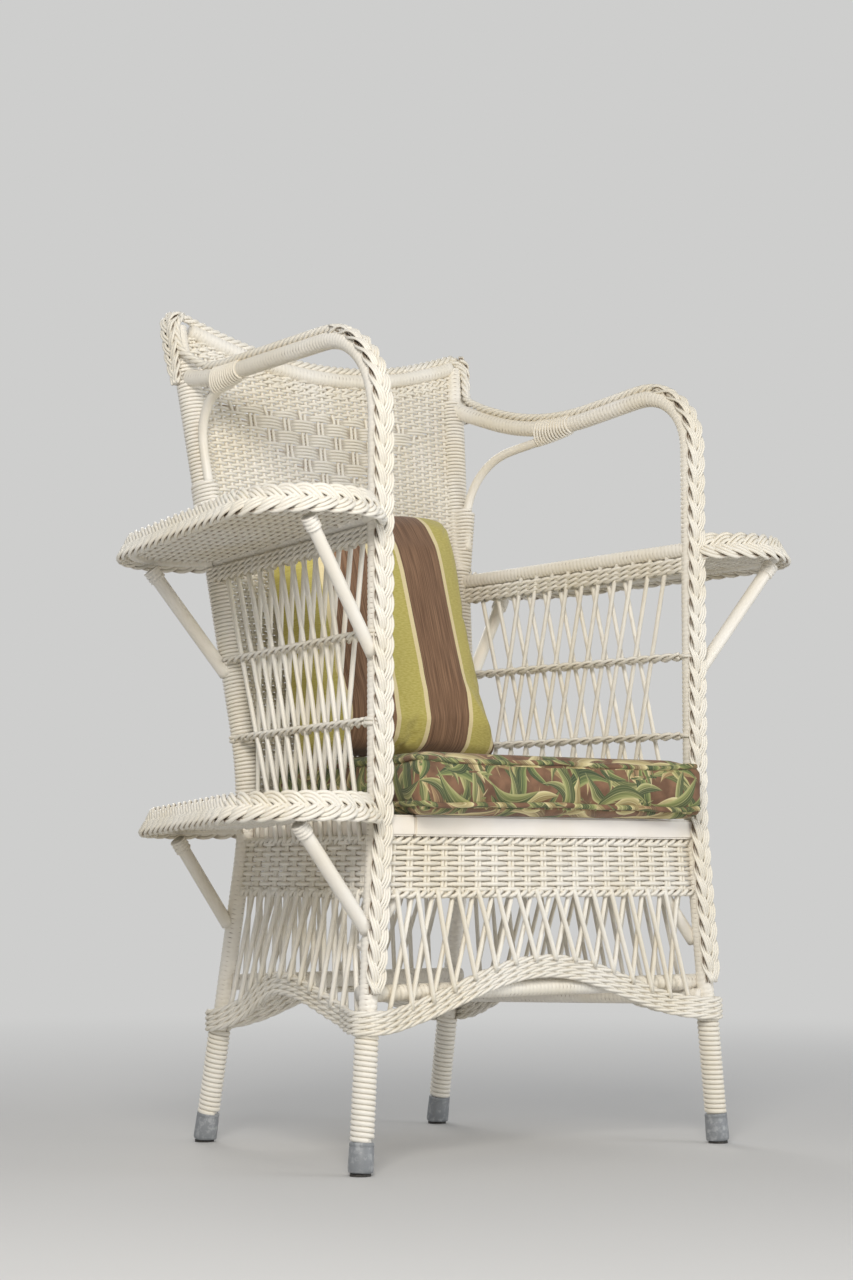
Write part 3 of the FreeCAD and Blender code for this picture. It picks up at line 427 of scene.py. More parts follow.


# %% [markdown]
# ## Reeds
#
# A reed is a round bar swept along a line. Curves with a bevel could draw it, but they carry no value at
# each point of the skin, and the paint needs one to know where dust settles and where to paint shade. So
# the rings are written straight into a mesh, many reeds to one piece.


# %% Reeds in one mesh
class Strands:
    """Many reeds in one mesh, with a crevice value at each point."""

    def __init__(self, sides=6):
        self.sides = sides
        self.points = []
        self.faces = []
        self.crevices = []
        self.count = 0

    def skin(self, rings, crevice):
        """Rings of points, one after another, become a closed tube."""
        length, sides = rings.shape[:2]
        index = self.count + np.arange(length * sides).reshape(length, sides)
        turned = np.roll(index, -1, axis=1)
        walls = np.stack([index[:-1], index[1:], turned[1:], turned[:-1]], axis=-1)
        self.faces += walls.reshape(-1, 4).tolist()
        self.faces += [index[0].tolist(), index[-1][::-1].tolist()]
        self.points.append(rings.reshape(-1, 3))
        self.crevices.append(np.clip(crevice, 0, 1).reshape(-1))
        self.count += length * sides

    def add(self, line, out, width, thick=None, depth=0.0, shaded=0.6, front=0.0):
        """One reed along a line. Depth is 0 on a crest and 1 where the reed dives.

        Front is above 0 where the reed lies before a stake and below 0 where it lies behind one: dust and
        painted shade darken the side that faces the stake. Shaded is how much painted shade the side away
        from out gets.
        """
        line = np.asarray(line, float)
        tangent = unit(np.gradient(line, axis=0))
        side = unit(np.cross(tangent, np.broadcast_to(out, line.shape)))
        up = np.cross(side, tangent)
        turn = 2 * np.pi * np.arange(self.sides) / self.sides
        ring = side[:, None] * (np.cos(turn) * width)[:, None]
        ring = ring + up[:, None] * (np.sin(turn) * (thick or width))[:, None]
        # Painted shade on the side of the reed that faces away from out.
        under = shaded * ((1 - np.sin(turn)) / 2) ** 1.5
        depth = np.broadcast_to(depth, len(line))
        # Dust and painted shade on the side that faces a stake.
        inner = np.maximum(0, -np.broadcast_to(front, len(line))[:, None] * np.sin(turn))
        self.skin(line[:, None] + ring, depth[:, None] + under[None] + inner)

    def piece(self, name, paint, replaced=(), body="frame", slot="painted_weave"):
        """The reeds as one painted piece that rides on a body in place of CAD nodes."""
        mesh = bpy.data.meshes.new(name)
        mesh.from_pydata(np.concatenate(self.points).tolist(), [], self.faces)
        crevice = mesh.attributes.new("crevice", "FLOAT", "POINT")
        crevice.data.foreach_set("value", np.concatenate(self.crevices).astype(np.float32))
        mesh.polygons.foreach_set("use_smooth", [True] * len(mesh.polygons))
        mesh.materials.append(paint)
        piece = bpy.data.objects.new(name, mesh)
        scene.collection.objects.link(piece)
        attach(piece, body)
        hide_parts(*replaced)
        print(name, len(mesh.vertices), "points")
        return piece


# %% [markdown]
# ## Ropes, plaits and windings
#
# All three are reeds whose lines swing about a route: a rope's strands turn round it, a plait's bundles
# swing from edge to edge and dive under one another, and a winding goes round a pole. Building them as
# mesh gives true edges and shadows, which a bump map would not.


# %% Ropes, plaits and windings
ROPE_SAMPLES = 14
PLAIT_SAMPLES = 20
WINDING_SAMPLES = 5
BIND_SAMPLES = 16
FEWEST_SAMPLES = 12


def rope(strands, route, radius, reed, lay, across=0.0, proud=0.0, count=2, start=0.0, shaded=0.75):
    """Reeds twisted round a route, one full turn to each lay."""
    samples = max(FEWEST_SAMPLES, int((route.length - start) / lay * ROPE_SAMPLES))
    s = np.linspace(start, route.length, samples)
    for strand in range(count):
        turn = 2 * np.pi * (s / lay + strand / count)
        line = route.place(s, across + radius * np.cos(turn), proud + radius * np.sin(turn))
        strands.add(line, line - route.place(s, across, proud), reed, shaded=shaded)


def plait(strands, route, swing, lift, period, reed, bundles=3, members=3, gap=2.0, start=0.0, end=None,
          taper=0.0, rounded=0.0):
    """Flat bundles of reeds plaited along a route: the herringbone of the edges."""
    end = route.length if end is None else end
    s = np.linspace(start, end, max(FEWEST_SAMPLES, int((end - start) / period * PLAIT_SAMPLES)))
    swing = swing * (np.clip((end - s) / taper, 0.4, 1.0) if taper else np.ones(len(s)))
    swing = swing * np.sqrt(np.clip((s - start) / (rounded + 1e-9), 0.1, 1.0))
    for bundle in range(bundles):
        turn = 2 * np.pi * (s / period + bundle / bundles)
        slope = swing * 2 * np.pi / period * np.cos(turn)
        lean = np.sqrt(1 + slope**2)
        for member in range(members):
            shift = (member - (members - 1) / 2) * gap * reed
            height = lift * np.sin(2 * turn)
            line = route.place(s - shift * slope / lean, swing * np.sin(turn) + shift / lean, height)
            # Dust and painted shade darken the side of each strand that faces the strands it crosses.
            strands.add(line, route.read(route.out, s), reed, depth=0.15, shaded=0.35, front=height / lift)


def winding(strands, route, radius, ridge, pitch, sides=14):
    """A pole covered by cane wound round it: a tube whose skin rises and falls once a turn."""
    s = np.linspace(0.0, route.length, max(4, int(route.length / pitch * WINDING_SAMPLES)))
    angle = 2 * np.pi * np.arange(sides) / sides
    turn = (s[:, None] / pitch + angle[None] / (2 * np.pi)) % 1
    arch = np.sqrt(np.maximum(0, 1 - (2 * turn - 1) ** 2))
    reach = radius + ridge * arch
    spot = route.read(route.points, s)[:, None]
    side = route.read(route.side, s)[:, None] * np.cos(angle)[None, :, None]
    out = route.read(route.out, s)[:, None] * np.sin(angle)[None, :, None]
    # The grooves between turns get a high crevice value: dust and painted shade.
    strands.skin(spot + (side + out) * reach[..., None], 1.05 * (1 - arch) ** 1.2)


def bind(strands, hub, lean, reed, pitch, pole, rod):
    """Reed wound round a pole and the rod beside it. Lean points from the one to the other."""
    route = Route(hub, lean)
    s = np.linspace(0, route.length, int(route.length / pitch * BIND_SAMPLES))
    beside = np.interp(s, route.along, np.linalg.norm(lean, axis=1))
    middle = (beside + rod - pole) / 2
    reach = (beside + rod + pole) / 2 + reed
    turn = 2 * np.pi * s / pitch
    line = route.place(s, (pole + reed) * np.sin(turn), middle + reach * np.cos(turn))
    strands.add(line, line - route.place(s, 0.0, middle), reed, shaded=0.7)


# %% [markdown]
# ## Poles under their cane
#
# Posts, arms and rails are rattan poles with flat cane wound tightly round them. Under the paint only
# faint ridges show, so a skin that swells once a turn gives the look with few points. Above the seat a
# coil of round reed ties each back post to the edge of the woven back.

# %% Wound posts and arms
OUTWARD = {"left": np.array([-1.0, 0.0, 0.0]), "right": np.array([1.0, 0.0, 0.0])}
FORWARD = np.array([0.0, -1.0, 0.0])
UP = np.array([0.0, 0.0, 1.0])
POST_RADIUS = 9.7 * MM
CANE_RIDGE = 1.1 * MM
CANE_PITCH = 6.0 * MM
COIL_REED = 2.3 * MM
COIL_PITCH = 4.9 * MM
COIL_LEAN = 13.0 * MM
COIL_TOP = 0.99
SEAT_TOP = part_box("seat_rail_front")[1].z
post_routes = {}
for (place, side), line in post_lines.items():
    route = Route(line, OUTWARD[side])
    post_routes[place, side] = route
    skin = Strands()
    winding(skin, route, POST_RADIUS, CANE_RIDGE, CANE_PITCH)
    if place == "back":
        hub = line[(line[:, 2] > SEAT_TOP) & (line[:, 2] < COIL_TOP)]
        lean = np.tile(-OUTWARD[side] * COIL_LEAN, (len(hub), 1))
        bind(skin, hub, lean, COIL_REED, COIL_PITCH, POST_RADIUS, COIL_REED)
    skin.piece(f"{place}_post_cane_{side}", pole_paint, [f"{place}_post_{side}"], slot="painted_pole")


# %% [markdown]
# ## Wound rails and stretchers
#
# The rails under the arms and the stretchers between the legs are straight, so two ends are enough. The
# top rail dips between the raised corners, and is traced like a post.


# %% Wound rails and stretchers
TOP_RAIL_RADIUS = 9.2 * MM
QUARTERS = ("front", "back", "left", "right")


def straight(start, end, count=24):
    """Points on the line between two ends."""
    return start + np.linspace(0, 1, count)[:, None] * (end - start)


def upright_to(start, end):
    """A direction that no rod between these ends is parallel to."""
    along = unit(end - start)
    return UP if abs(along[2]) < 0.7 else FORWARD


for node in [f"arm_rail_{side}" for side in SIDES] + [f"stretcher_{quarter}" for quarter in QUARTERS]:
    start, end, radius = rods(node)[0]
    skin = Strands()
    winding(skin, Route(straight(start, end), upright_to(start, end)), radius, CANE_RIDGE, CANE_PITCH)
    skin.piece(f"{node}_cane", pole_paint, [node], slot="painted_pole")

rail_points = cad_points("top_rail")
rail_end = rail_points[rail_points[:, 0] < rail_points[:, 0].min() + 20 * MM].mean(axis=0)
rail_line = smooth(trace("top_rail", rail_end + (12 * MM, 0, -2 * MM), (1.0, 0.0, -0.35)))
skin = Strands()
winding(skin, Route(rail_line, FORWARD), TOP_RAIL_RADIUS, CANE_RIDGE, CANE_PITCH)
skin.piece("top_rail_cane", pole_paint, ["top_rail"], slot="painted_pole")

# %% [markdown]
# ## Bare braces and struts
#
# A few rods are left bare: the curved braces under the arms, the struts under the shelves and the corner
# braces under the seat. They are plain round bars. What makes them look built in is the reed that binds
# a brace to the arm and to the post, and the collar of cane at the head of a strut.

# %% Curved braces
BRACE_RADIUS = 6.0 * MM
CANE_REED = 1.6 * MM
BIND_PITCH = 5.0 * MM
BIND_POINTS = 24
BIND_AHEAD = 14 * MM
BIND_BEHIND = 46 * MM
BIND_FADE = 0.25
FOOT_HIGH = 0.826
FOOT_LOW = 0.745
for side in SIDES:
    node = f"arm_brace_{side}"
    points = cad_points(node)
    foot = points[points[:, 2] < points[:, 2].min() + 14 * MM].mean(axis=0)
    line = smooth(trace(node, foot + UP * 8 * MM, (0.0, 0.1, 1.0)))
    head = line[-1] + unit(line[-1] - line[-3]) * 12 * MM
    brace = Strands(12)
    brace.add(np.concatenate([line, head[None]]), OUTWARD[side], BRACE_RADIUS, shaded=0.25)
    arm = post_routes["front", side]
    nearest = int(np.argmin(np.linalg.norm(arm.points - line[-1], axis=1)))
    s = arm.along[nearest] + np.linspace(BIND_AHEAD, -BIND_BEHIND, BIND_POINTS)
    lean = line[-1] - arm.points[nearest]
    fade = np.linspace(1, BIND_FADE, BIND_POINTS)[:, None]
    bind(brace, arm.place(s), lean * fade, CANE_REED, BIND_PITCH, POST_RADIUS, BRACE_RADIUS)
    heights = np.linspace(FOOT_HIGH, FOOT_LOW, BIND_POINTS)
    hub = np.array([post_at("back", side, height) for height in heights])
    joint = np.array([np.interp(FOOT_HIGH, line[:, 2], line[:, axis]) for axis in range(3)])
    bind(brace, hub, (joint - hub[0]) * fade, COIL_REED, COIL_PITCH, POST_RADIUS + COIL_REED, BRACE_RADIUS)
    brace.piece(f"arm_brace_rod_{side}", pole_paint, [node], slot="painted_pole")

# %% Struts and corner braces
SHELVES = ("upper_left", "upper_right", "lower_left")
COLLAR = 16 * MM
COLLAR_RIDGE = 2.2 * MM
for node in ["corner_braces"] + [f"shelf_struts_{shelf}" for shelf in SHELVES]:
    bars = Strands(12)
    for start, end, radius in rods(node):
        bars.add(straight(start, end), upright_to(start, end), radius, shaded=0.25)
        if node != "corner_braces":
            neck = end + unit(start - end) * COLLAR
            collar = Route(straight(neck, end), upright_to(start, end))
            winding(bars, collar, radius, COLLAR_RIDGE, BIND_PITCH, sides=12)
    bars.piece(f"{node}_rods", pole_paint, [node], slot="painted_pole")

# %% [markdown]
# ## Open sides
#
# Each side is a trellis: pairs of thin reeds cross from the seat to the arm rail, and two rows of
# twisted reed tie them where they cross. A row has a rope on each face of the trellis and ends in a turn
# round the post. Under the arm rail three more rows lie close together. Real reeds bow a little, so each
# one here gets a small bend by chance.


# %% Side trellis and tied rows
REED = 3.0 * MM
REED_POINTS = 14
REED_BOW = 0.9 * MM
ROW_RADIUS = 2.6 * MM
ROW_REED = 2.3 * MM
ROW_LAY = 36.0 * MM
RING_REED = 2.4 * MM
RING_CLEAR = {"front": POST_RADIUS + 3.0 * MM, "back": POST_RADIUS + 4.4 * MM}
RAIL_ROWS = (14 * MM, 20 * MM, 26 * MM)
RAIL_ROW_RADIUS = 2.2 * MM
RAIL_ROW_LAY = 34.0 * MM
RAIL_ROW_PROUD = 6.0 * MM


def trellis(strands, node, out, sunk):
    """The crossed reeds of a lattice, sunk at both ends into what holds them."""
    for start, end, _ in rods(node):
        along = unit(end - start)
        line = straight(start - along * sunk, end + along * sunk, REED_POINTS)
        bow = np.sin(np.linspace(0, np.pi, REED_POINTS)) * chance.normal(0, REED_BOW)
        line = line + bow[:, None] * unit(np.cross(along, out))
        strands.add(line, out, REED, depth=0.05, shaded=0.5)


def ring(strands, route, height, radius, reed, turns=1.6):
    """A few turns of reed round a post."""
    stop = climb_end(route.points)
    start = float(np.interp(height, route.points[:stop, 2], route.along[:stop]))
    turn = np.linspace(0, 2 * np.pi * turns, int(18 * turns))
    s = start + reed * 2 * turn / (2 * np.pi) - reed * turns
    line = route.place(s, radius * np.cos(turn), radius * np.sin(turn))
    strands.add(line, line - route.place(s), reed, shaded=0.6)


side_out = {}
for side in SIDES:
    front, back = post_at("front", side, 0.6), post_at("back", side, 0.6)
    out = unit(np.cross(back - front, UP))
    side_out[side] = out if out @ OUTWARD[side] > 0 else -out
    weave = Strands()
    trellis(weave, f"side_lattice_{side}", side_out[side], 4 * MM)
    weave.piece(f"side_trellis_{side}", reed_paint, [f"side_lattice_{side}"])
    tied = Strands()
    for start, end, _ in rods(f"side_rows_{side}"):
        start, end = sorted((start, end), key=lambda spot: spot[1])
        front = post_at("front", side, start[2]) + unit(end - start) * POST_RADIUS
        back = post_at("back", side, end[2]) - unit(end - start) * POST_RADIUS
        row = Route(straight(front, back, 40), side_out[side])
        proud = (start - front) @ side_out[side]
        rope(tied, row, ROW_RADIUS, ROW_REED, ROW_LAY, proud=proud)
        if proud > 0:
            for place, end_spot in (("front", front), ("back", back)):
                ring(tied, post_routes[place, side], end_spot[2], RING_CLEAR[place], RING_REED)
    rail_start, rail_finish, _ = rods(f"arm_rail_{side}")[0]
    for drop in RAIL_ROWS:
        row = Route(straight(rail_start, rail_finish, 40) - UP * drop, side_out[side])
        for proud in (-RAIL_ROW_PROUD, RAIL_ROW_PROUD):
            rope(tied, row, RAIL_ROW_RADIUS, RING_REED, RAIL_ROW_LAY, proud=proud, shaded=0.4)
    tied.piece(f"side_tied_rows_{side}", reed_paint, [f"side_rows_{side}"])

# %% [markdown]
# ## Woven back
#
# The back is one cloth of reed. Stakes stand a finger's width apart, and weavers pass in front of one and
# behind the next. Below the top rail the weaver changes step and takes four reeds together, which leaves
# a triangle of square blocks, and the stakes are drawn together in pairs there. A row of signs for each
# weaver, one to a stake, is the whole pattern.


# %% Stakes and signs of the back weave
STAKE_COUNT = 32
PAIR_HALF = 3.4 * MM
BLOCK_ROWS = 4
BLOCK_TOP = 0.941
BLOCK_DEPTH = 0.108
BLOCK_HALF = 0.178
BLOCK_EDGE = 16 * MM
BLOCK_TOP_EDGE = 8 * MM


def back_spot(share, height):
    """A point of the back's middle surface, from the left post to the right one."""
    left, right = post_at("back", "left", height), post_at("back", "right", height)
    return left + share * (right - left)


def sway(signs, samples, places=None):
    """A weaver's path past stakes: smooth swings between one side and the other."""
    stakes = np.arange(len(signs))
    places = stakes / stakes[-1] if places is None else places
    stake = np.linspace(0, stakes[-1], stakes[-1] * samples + 1)
    before = np.minimum(stake.astype(int), stakes[-1] - 1)
    blend = (1 - np.cos(np.pi * (stake - before))) / 2
    swing = signs[before] + (signs[before + 1] - signs[before]) * blend
    return np.interp(stake, stakes, places), swing


def among_blocks(height, share):
    """1 inside the triangle of blocks, 0 outside it, with a short change between."""
    half = BLOCK_HALF * (1 - (BLOCK_TOP - height) / BLOCK_DEPTH)
    away = np.abs(2 * share - 1) * back_spot(1.0, height)[0]
    level = np.clip((BLOCK_TOP - height) / BLOCK_TOP_EDGE + 0.5, 0, 1)
    return np.clip((half - away) / BLOCK_EDGE + 0.5, 0, 1) * level


def stake_shares(height):
    """Where the stakes stand: evenly, but drawn together in pairs among the blocks."""
    stakes = np.arange(STAKE_COUNT)
    pair = (stakes // 2 + 0.5) * 2 / STAKE_COUNT
    inside = among_blocks(height, pair)
    drawn = PAIR_HALF / (2 * back_spot(1.0, height)[0])
    apart = 0.5 / STAKE_COUNT * (1 - inside) + drawn * inside
    return pair, pair + np.where(stakes % 2, apart, -apart)


def weaver_signs(row, height, pair):
    """Which side of each stake a weaver passes: 1 in front, -1 behind."""
    stakes = np.arange(STAKE_COUNT)
    plain = row + stakes
    blocked = row // BLOCK_ROWS + stakes // 2
    return np.where(np.where(among_blocks(height, pair) > 0.5, blocked, plain) % 2, 1.0, -1.0)


# %% [markdown]
# ## Weaving the back
#
# Weavers are laid from the foot up to the top rail. The rail dips, so the upper ones reach only part of
# the way and are cut where they would stand above it. Dust and painted shade darken the side that faces
# the stake.

# %% Weavers and stakes of the back
WEAVER = 2.15 * MM
WEAVER_STEP = 4.35 * MM
WEAVER_SWING = 2.9 * MM
WEAVER_SAMPLES = 3
SHORTEST_RUN = 6
FIRST_ROW = 4 * MM
UNDER_RAIL = 6 * MM
STAKE = 2.2 * MM
STAKE_POINTS = 50
STAKE_HEAD = 0.97
BACK_LOW, BACK_HIGH = 0.5, 0.9
panel_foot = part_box("back_panel")[0].z
back_normal = unit(np.cross(post_at("back", "right", BACK_HIGH) - post_at("back", "left", BACK_HIGH),
                            post_at("back", "left", BACK_HIGH) - post_at("back", "left", BACK_LOW)))
back_normal = back_normal if back_normal @ FORWARD > 0 else -back_normal
back_reeds = Strands()
row_count = int((rail_line[:, 2].max() - panel_foot) / WEAVER_STEP)
for row in range(row_count):
    height = panel_foot + FIRST_ROW + row * WEAVER_STEP
    pair, shares = stake_shares(height)
    signs = weaver_signs(row, height, pair)
    signs = np.concatenate([-signs[:1], signs, -signs[-1:]])
    share, swing = sway(signs, WEAVER_SAMPLES, np.concatenate([[0.0], shares, [1.0]]))
    left, right = back_spot(0.0, height), back_spot(1.0, height)
    line = left + share[:, None] * (right - left)
    ceiling = np.interp(line[:, 0], rail_line[:, 0], rail_line[:, 2]) - UNDER_RAIL
    depth = 0.1 + 0.4 * (1 - np.abs(swing))
    line = line + (swing * WEAVER_SWING)[:, None] * back_normal
    crossings = np.where(np.diff((line[:, 2] < ceiling).astype(int)))[0] + 1
    for run in np.split(np.arange(len(line)), crossings):
        if len(run) > SHORTEST_RUN and line[run[0], 2] < ceiling[run[0]]:
            back_reeds.add(line[run], back_normal, WEAVER, None, depth[run], 0.0, 0.8 * swing[run])
head_shares = stake_shares(STAKE_HEAD)[1]
for stake in range(STAKE_COUNT):
    top_x = back_spot(head_shares[stake], STAKE_HEAD)[0]
    top = float(np.interp(top_x, rail_line[:, 0], rail_line[:, 2]))
    climb = np.linspace(panel_foot, top, STAKE_POINTS)
    line = np.array([back_spot(stake_shares(height)[1][stake], height) for height in climb])
    back_reeds.add(line, back_normal, STAKE, depth=0.1, shaded=0.0)
back_reeds.piece("back_weave", reed_paint, ["back_panel"])

# %% [markdown]
# ## Rows that close the weave
#
# Two ropes lie under the top rail and one along the foot of the back. On a real chair they stop the
# weavers from working loose.

# %% Twined rows of the back
TWINE_RADIUS = 3.0 * MM
TWINE_LAY = 26 * MM
TWINE_DROPS = (15 * MM, 22 * MM)
TWINE_PROUD = 1.5 * MM
FOOT_TWINE_RADIUS = 3.4 * MM
FOOT_TWINE_REED = 2.6 * MM
FOOT_TWINE_INSET = 0.03
twined = Strands()
for drop in TWINE_DROPS:
    line = rail_line.copy()
    line[:, 2] -= drop
    rope(twined, Route(line, FORWARD), TWINE_RADIUS, ROW_REED, TWINE_LAY, proud=TWINE_PROUD)
foot_left = back_spot(FOOT_TWINE_INSET, panel_foot)
foot_right = back_spot(1 - FOOT_TWINE_INSET, panel_foot)
row = Route(straight(foot_left, foot_right, 60), FORWARD)
rope(twined, row, FOOT_TWINE_RADIUS, FOOT_TWINE_REED, TWINE_LAY)
twined.piece("back_twined_rows", reed_paint)

# %% [markdown]
# ## Half-moon shelves
#
# A shelf is a bent hoop with a woven deck, and a broad plait is sewn over the hoop. Seen from above, the
# hoop runs round two equal circles, a large share of it ahead of the front post, and narrows towards the
# back post. The same circles, drawn in a little, are the edge of the deck.


# %% Outline of a shelf
SHELF_ROUND = 88.0 * MM
SHELF_FRONT_INSET = 28.0 * MM
SHELF_BACK_INSET = 70.0 * MM
SHELF_TAPER = 27.0 * MM
ROUND_POINTS = 60


def shelf_outline(length, reach, inset, near):
    """Points round a shelf as (along, outward), from front post to back post, and the way each faces."""
    front = np.array([SHELF_FRONT_INSET, reach - SHELF_ROUND])
    back = np.array([length - SHELF_BACK_INSET, reach - SHELF_ROUND - SHELF_TAPER])
    radius = SHELF_ROUND - inset
    run = back - front
    square = math.atan2(run[0], -run[1])
    start = math.pi - math.asin(max(-1.0, (near - front[1]) / radius))
    stop = math.asin(max(-1.0, (near - back[1]) / radius))
    turns = [np.linspace(start, square, ROUND_POINTS), np.linspace(square, stop, ROUND_POINTS)]
    sweep = np.concatenate(turns)
    facing = np.stack([np.cos(sweep), np.sin(sweep)], axis=1)
    hub = np.repeat([front, back], ROUND_POINTS, axis=0)
    return hub + radius * facing, facing


def crossing(outline, axis, value):
    """Where a closed outline meets a straight line: the least and the greatest other coordinate."""
    closed = np.concatenate([outline, outline[:1]])
    side = closed[:, axis] - value
    cut = np.where(side[:-1] * side[1:] < 0)[0]
    if len(cut) < 2:
        return None
    share = side[cut] / (side[cut] - side[cut + 1])
    other = closed[cut, 1 - axis] + share * (closed[cut + 1, 1 - axis] - closed[cut, 1 - axis])
    return float(other.min()), float(other.max())


# %% [markdown]
# ## Weaving a shelf
#
# The three shelves differ only in where they hang, so one function weaves them all. The rim's plait leans
# up and out, as it does when it is sewn over a hoop. Weavers of the deck run from front to back over
# short stakes.


# %% Rims and decks
HOOP_INSET = 6.0 * MM
HOOP_RADIUS = 7.5 * MM
HOOP_RIDGE = 0.8 * MM
RIM_PROUD = 8.0 * MM
RIM_LEAN = 0.55
RIM_SWING = 12.5 * MM
RIM_LIFT = 3.6 * MM
RIM_PERIOD = 84.0 * MM
RIM_REED = 2.5 * MM
RIM_ENDS = {"upper": (744 * MM, 728 * MM), "lower": (404 * MM, 392 * MM)}
DECK_INSET = 12.0 * MM
DECK_STAKE = 24.0 * MM
DECK_STEP = WEAVER_STEP * 1.15
DECK_WEAVER = WEAVER * 1.1
DECK_SWING = 2.4 * MM


def weave_shelf(name, side):
    """The plaited rim and the woven deck of one shelf."""
    rim, deck = cad_points(f"shelf_rim_{name}"), cad_points(f"shelf_deck_{name}")
    front, back = (post_at(place, side, height)
                   for place, height in zip(("front", "back"), RIM_ENDS[name.split("_")[0]]))
    length = float(np.linalg.norm(back - front))
    along = unit(back - front)
    outward = unit(np.cross(along, UP))
    outward = outward if outward @ OUTWARD[side] > 0 else -outward
    upward = np.cross(along, outward)
    upward = upward if upward[2] > 0 else -upward
    reach = float(((rim - front) @ outward).max())

    def spot(flat, lift):
        return front + flat[:, :1] * along + flat[:, 1:] * outward + np.reshape(lift, (-1, 1)) * upward

    near = float(((rim - front) @ outward).min())
    hoop, facing = shelf_outline(length, reach, HOOP_INSET, near)
    out = spot(facing, RIM_LEAN) - front
    route = Route(spot(hoop, 0.0), out)
    edge = Strands()
    winding(edge, route, HOOP_RADIUS, HOOP_RIDGE, CANE_PITCH, sides=10)
    edge_route = Route(route.place(route.along, 0.0, RIM_PROUD), route.out)
    plait(edge, edge_route, RIM_SWING, RIM_LIFT, RIM_PERIOD, RIM_REED, bundles=4)
    edge.piece(f"shelf_plait_{name}", reed_paint, [f"shelf_rim_{name}"])

    board = Strands()
    near = float(((deck - front) @ outward).min())
    outline, _ = shelf_outline(length, reach, DECK_INSET, near)
    for row, across in enumerate(np.arange(near + 3 * MM, outline[:, 1].max(), DECK_STEP)):
        low, high = crossing(outline, 1, across)
        marks = np.arange(math.floor(low / DECK_STAKE), math.ceil(high / DECK_STAKE) + 1)
        if len(marks) < 4:
            continue
        share, swing = sway(np.where((marks + row) % 2 == 0, 1.0, -1.0), 5)
        flat = np.stack([np.interp(share, np.linspace(0, 1, len(marks)), marks * DECK_STAKE),
                         np.full(len(share), across)], axis=1)
        kept = (flat[:, 0] > low) & (flat[:, 0] < high)
        board.add(spot(flat, swing * DECK_SWING)[kept], upward, DECK_WEAVER,
                  depth=(0.55 * (1 - np.abs(swing)))[kept], shaded=0.3)
    for past in np.arange(outline[:, 0].min(), outline[:, 0].max(), DECK_STAKE):
        along_deck = math.ceil(past / DECK_STAKE) * DECK_STAKE
        ends = crossing(outline, 0, along_deck)
        if ends:
            flat = np.stack([np.full(REED_POINTS, along_deck), np.linspace(*ends, REED_POINTS)], axis=1)
            board.add(spot(flat, 0.0), upward, ROW_REED, depth=0.3)
    board.piece(f"shelf_deck_{name}_weave", reed_paint, [f"shelf_deck_{name}"])


for shelf in SHELVES:
    weave_shelf(shelf, shelf.split("_")[1])

# %% [markdown]
# ## Edges: plaits on the posts, ropes on the arms
#
# A plait covers the face of each front post and runs on over the bend of the arm, where it narrows. A
# rope takes over there, follows the arm back and climbs the raised corner behind it. Both lie on routes
# set off from the post's own centre line.


# %% Front plaits and arm ropes
FACE_SWING = 8.5 * MM
FACE_LIFT = 4.4 * MM
FACE_PERIOD = 118.0 * MM
FACE_REED = 1.8 * MM
ROPE_RADIUS = 3.0 * MM
ROPE_REED = 2.9 * MM
ROPE_LAY = 34.0 * MM
ROPE_STEP = 3 * MM
FACE_BUNDLES = 5
FACE_CLEAR = POST_RADIUS + 2.8 * MM
FACE_TAPER = 60 * MM
FACE_FOOT = 22 * MM
ARM_CLEAR = POST_RADIUS + 4.6 * MM
ARM_START = 35 * MM
EAR_CLEAR = POST_RADIUS + 6.5 * MM
EAR_OUT = 0.76
EAR_FORWARD = 0.65
ACROSS_CHAIR = np.array([1.0, 0.0, 0.0])
EAR_TURN = {"left": 34 * MM, "right": 44 * MM}
for side in SIDES:
    line = post_lines["front", side]
    facing = np.cross(ACROSS_CHAIR, unit(np.gradient(line, axis=0)))
    route = Route(line, facing)
    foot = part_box(f"front_braid_{side}")[0].z
    stop = climb_end(line)
    start = float(np.interp(foot, line[:stop, 2], route.along[:stop]))
    bend = float(route.along[stop])
    face = Route(route.place(route.along, 0.0, FACE_CLEAR), route.out)
    stretch = face.length / route.length
    edge = Strands()
    plait(edge, face, FACE_SWING, FACE_LIFT, FACE_PERIOD, FACE_REED, FACE_BUNDLES, start=start * stretch,
          end=bend * stretch, taper=FACE_TAPER, rounded=FACE_FOOT)
    edge.piece(f"front_plait_{side}", reed_paint, [f"front_braid_{side}"])
    top = Route(route.place(route.along, 0.0, ARM_CLEAR), route.out)
    ear = post_lines["back", side]
    lie = unit(OUTWARD[side] * EAR_OUT + FORWARD * EAR_FORWARD)
    rise = np.linspace(ear[-1][2] - EAR_TURN[side], ear[-1][2] - 4 * MM, 8)
    rising = [post_at("back", side, height) + lie * EAR_CLEAR for height in rise]
    crown = [ear[-1] + UP * 9 * MM + lie * 8 * MM, ear[-1] + UP * 14 * MM - OUTWARD[side] * 6 * MM]
    on_arm = top.points[top.along < top.length - EAR_TURN[side]]
    turned = Route(np.concatenate([on_arm, rising, crown]), lie)
    s = np.linspace(0, turned.length, int(turned.length / ROPE_STEP))
    whole = Route(smooth(turned.place(s), 16), lie)
    edge = Strands()
    start = (bend - ARM_START) * top.length / route.length
    rope(edge, whole, ROPE_RADIUS, ROPE_REED, ROPE_LAY, count=3, start=start)
    edge.piece(f"arm_rope_{side}", reed_paint, [f"arm_trim_{side}"])

# %% [markdown]
# ## Raised corners and top rail
#
# Each raised corner of the back ends in a plait that bends over the post's head, and one rope runs along
# the top rail from crown to crown. Its route is two points over each crown with the rail between them,
# smoothed until it lies easily.

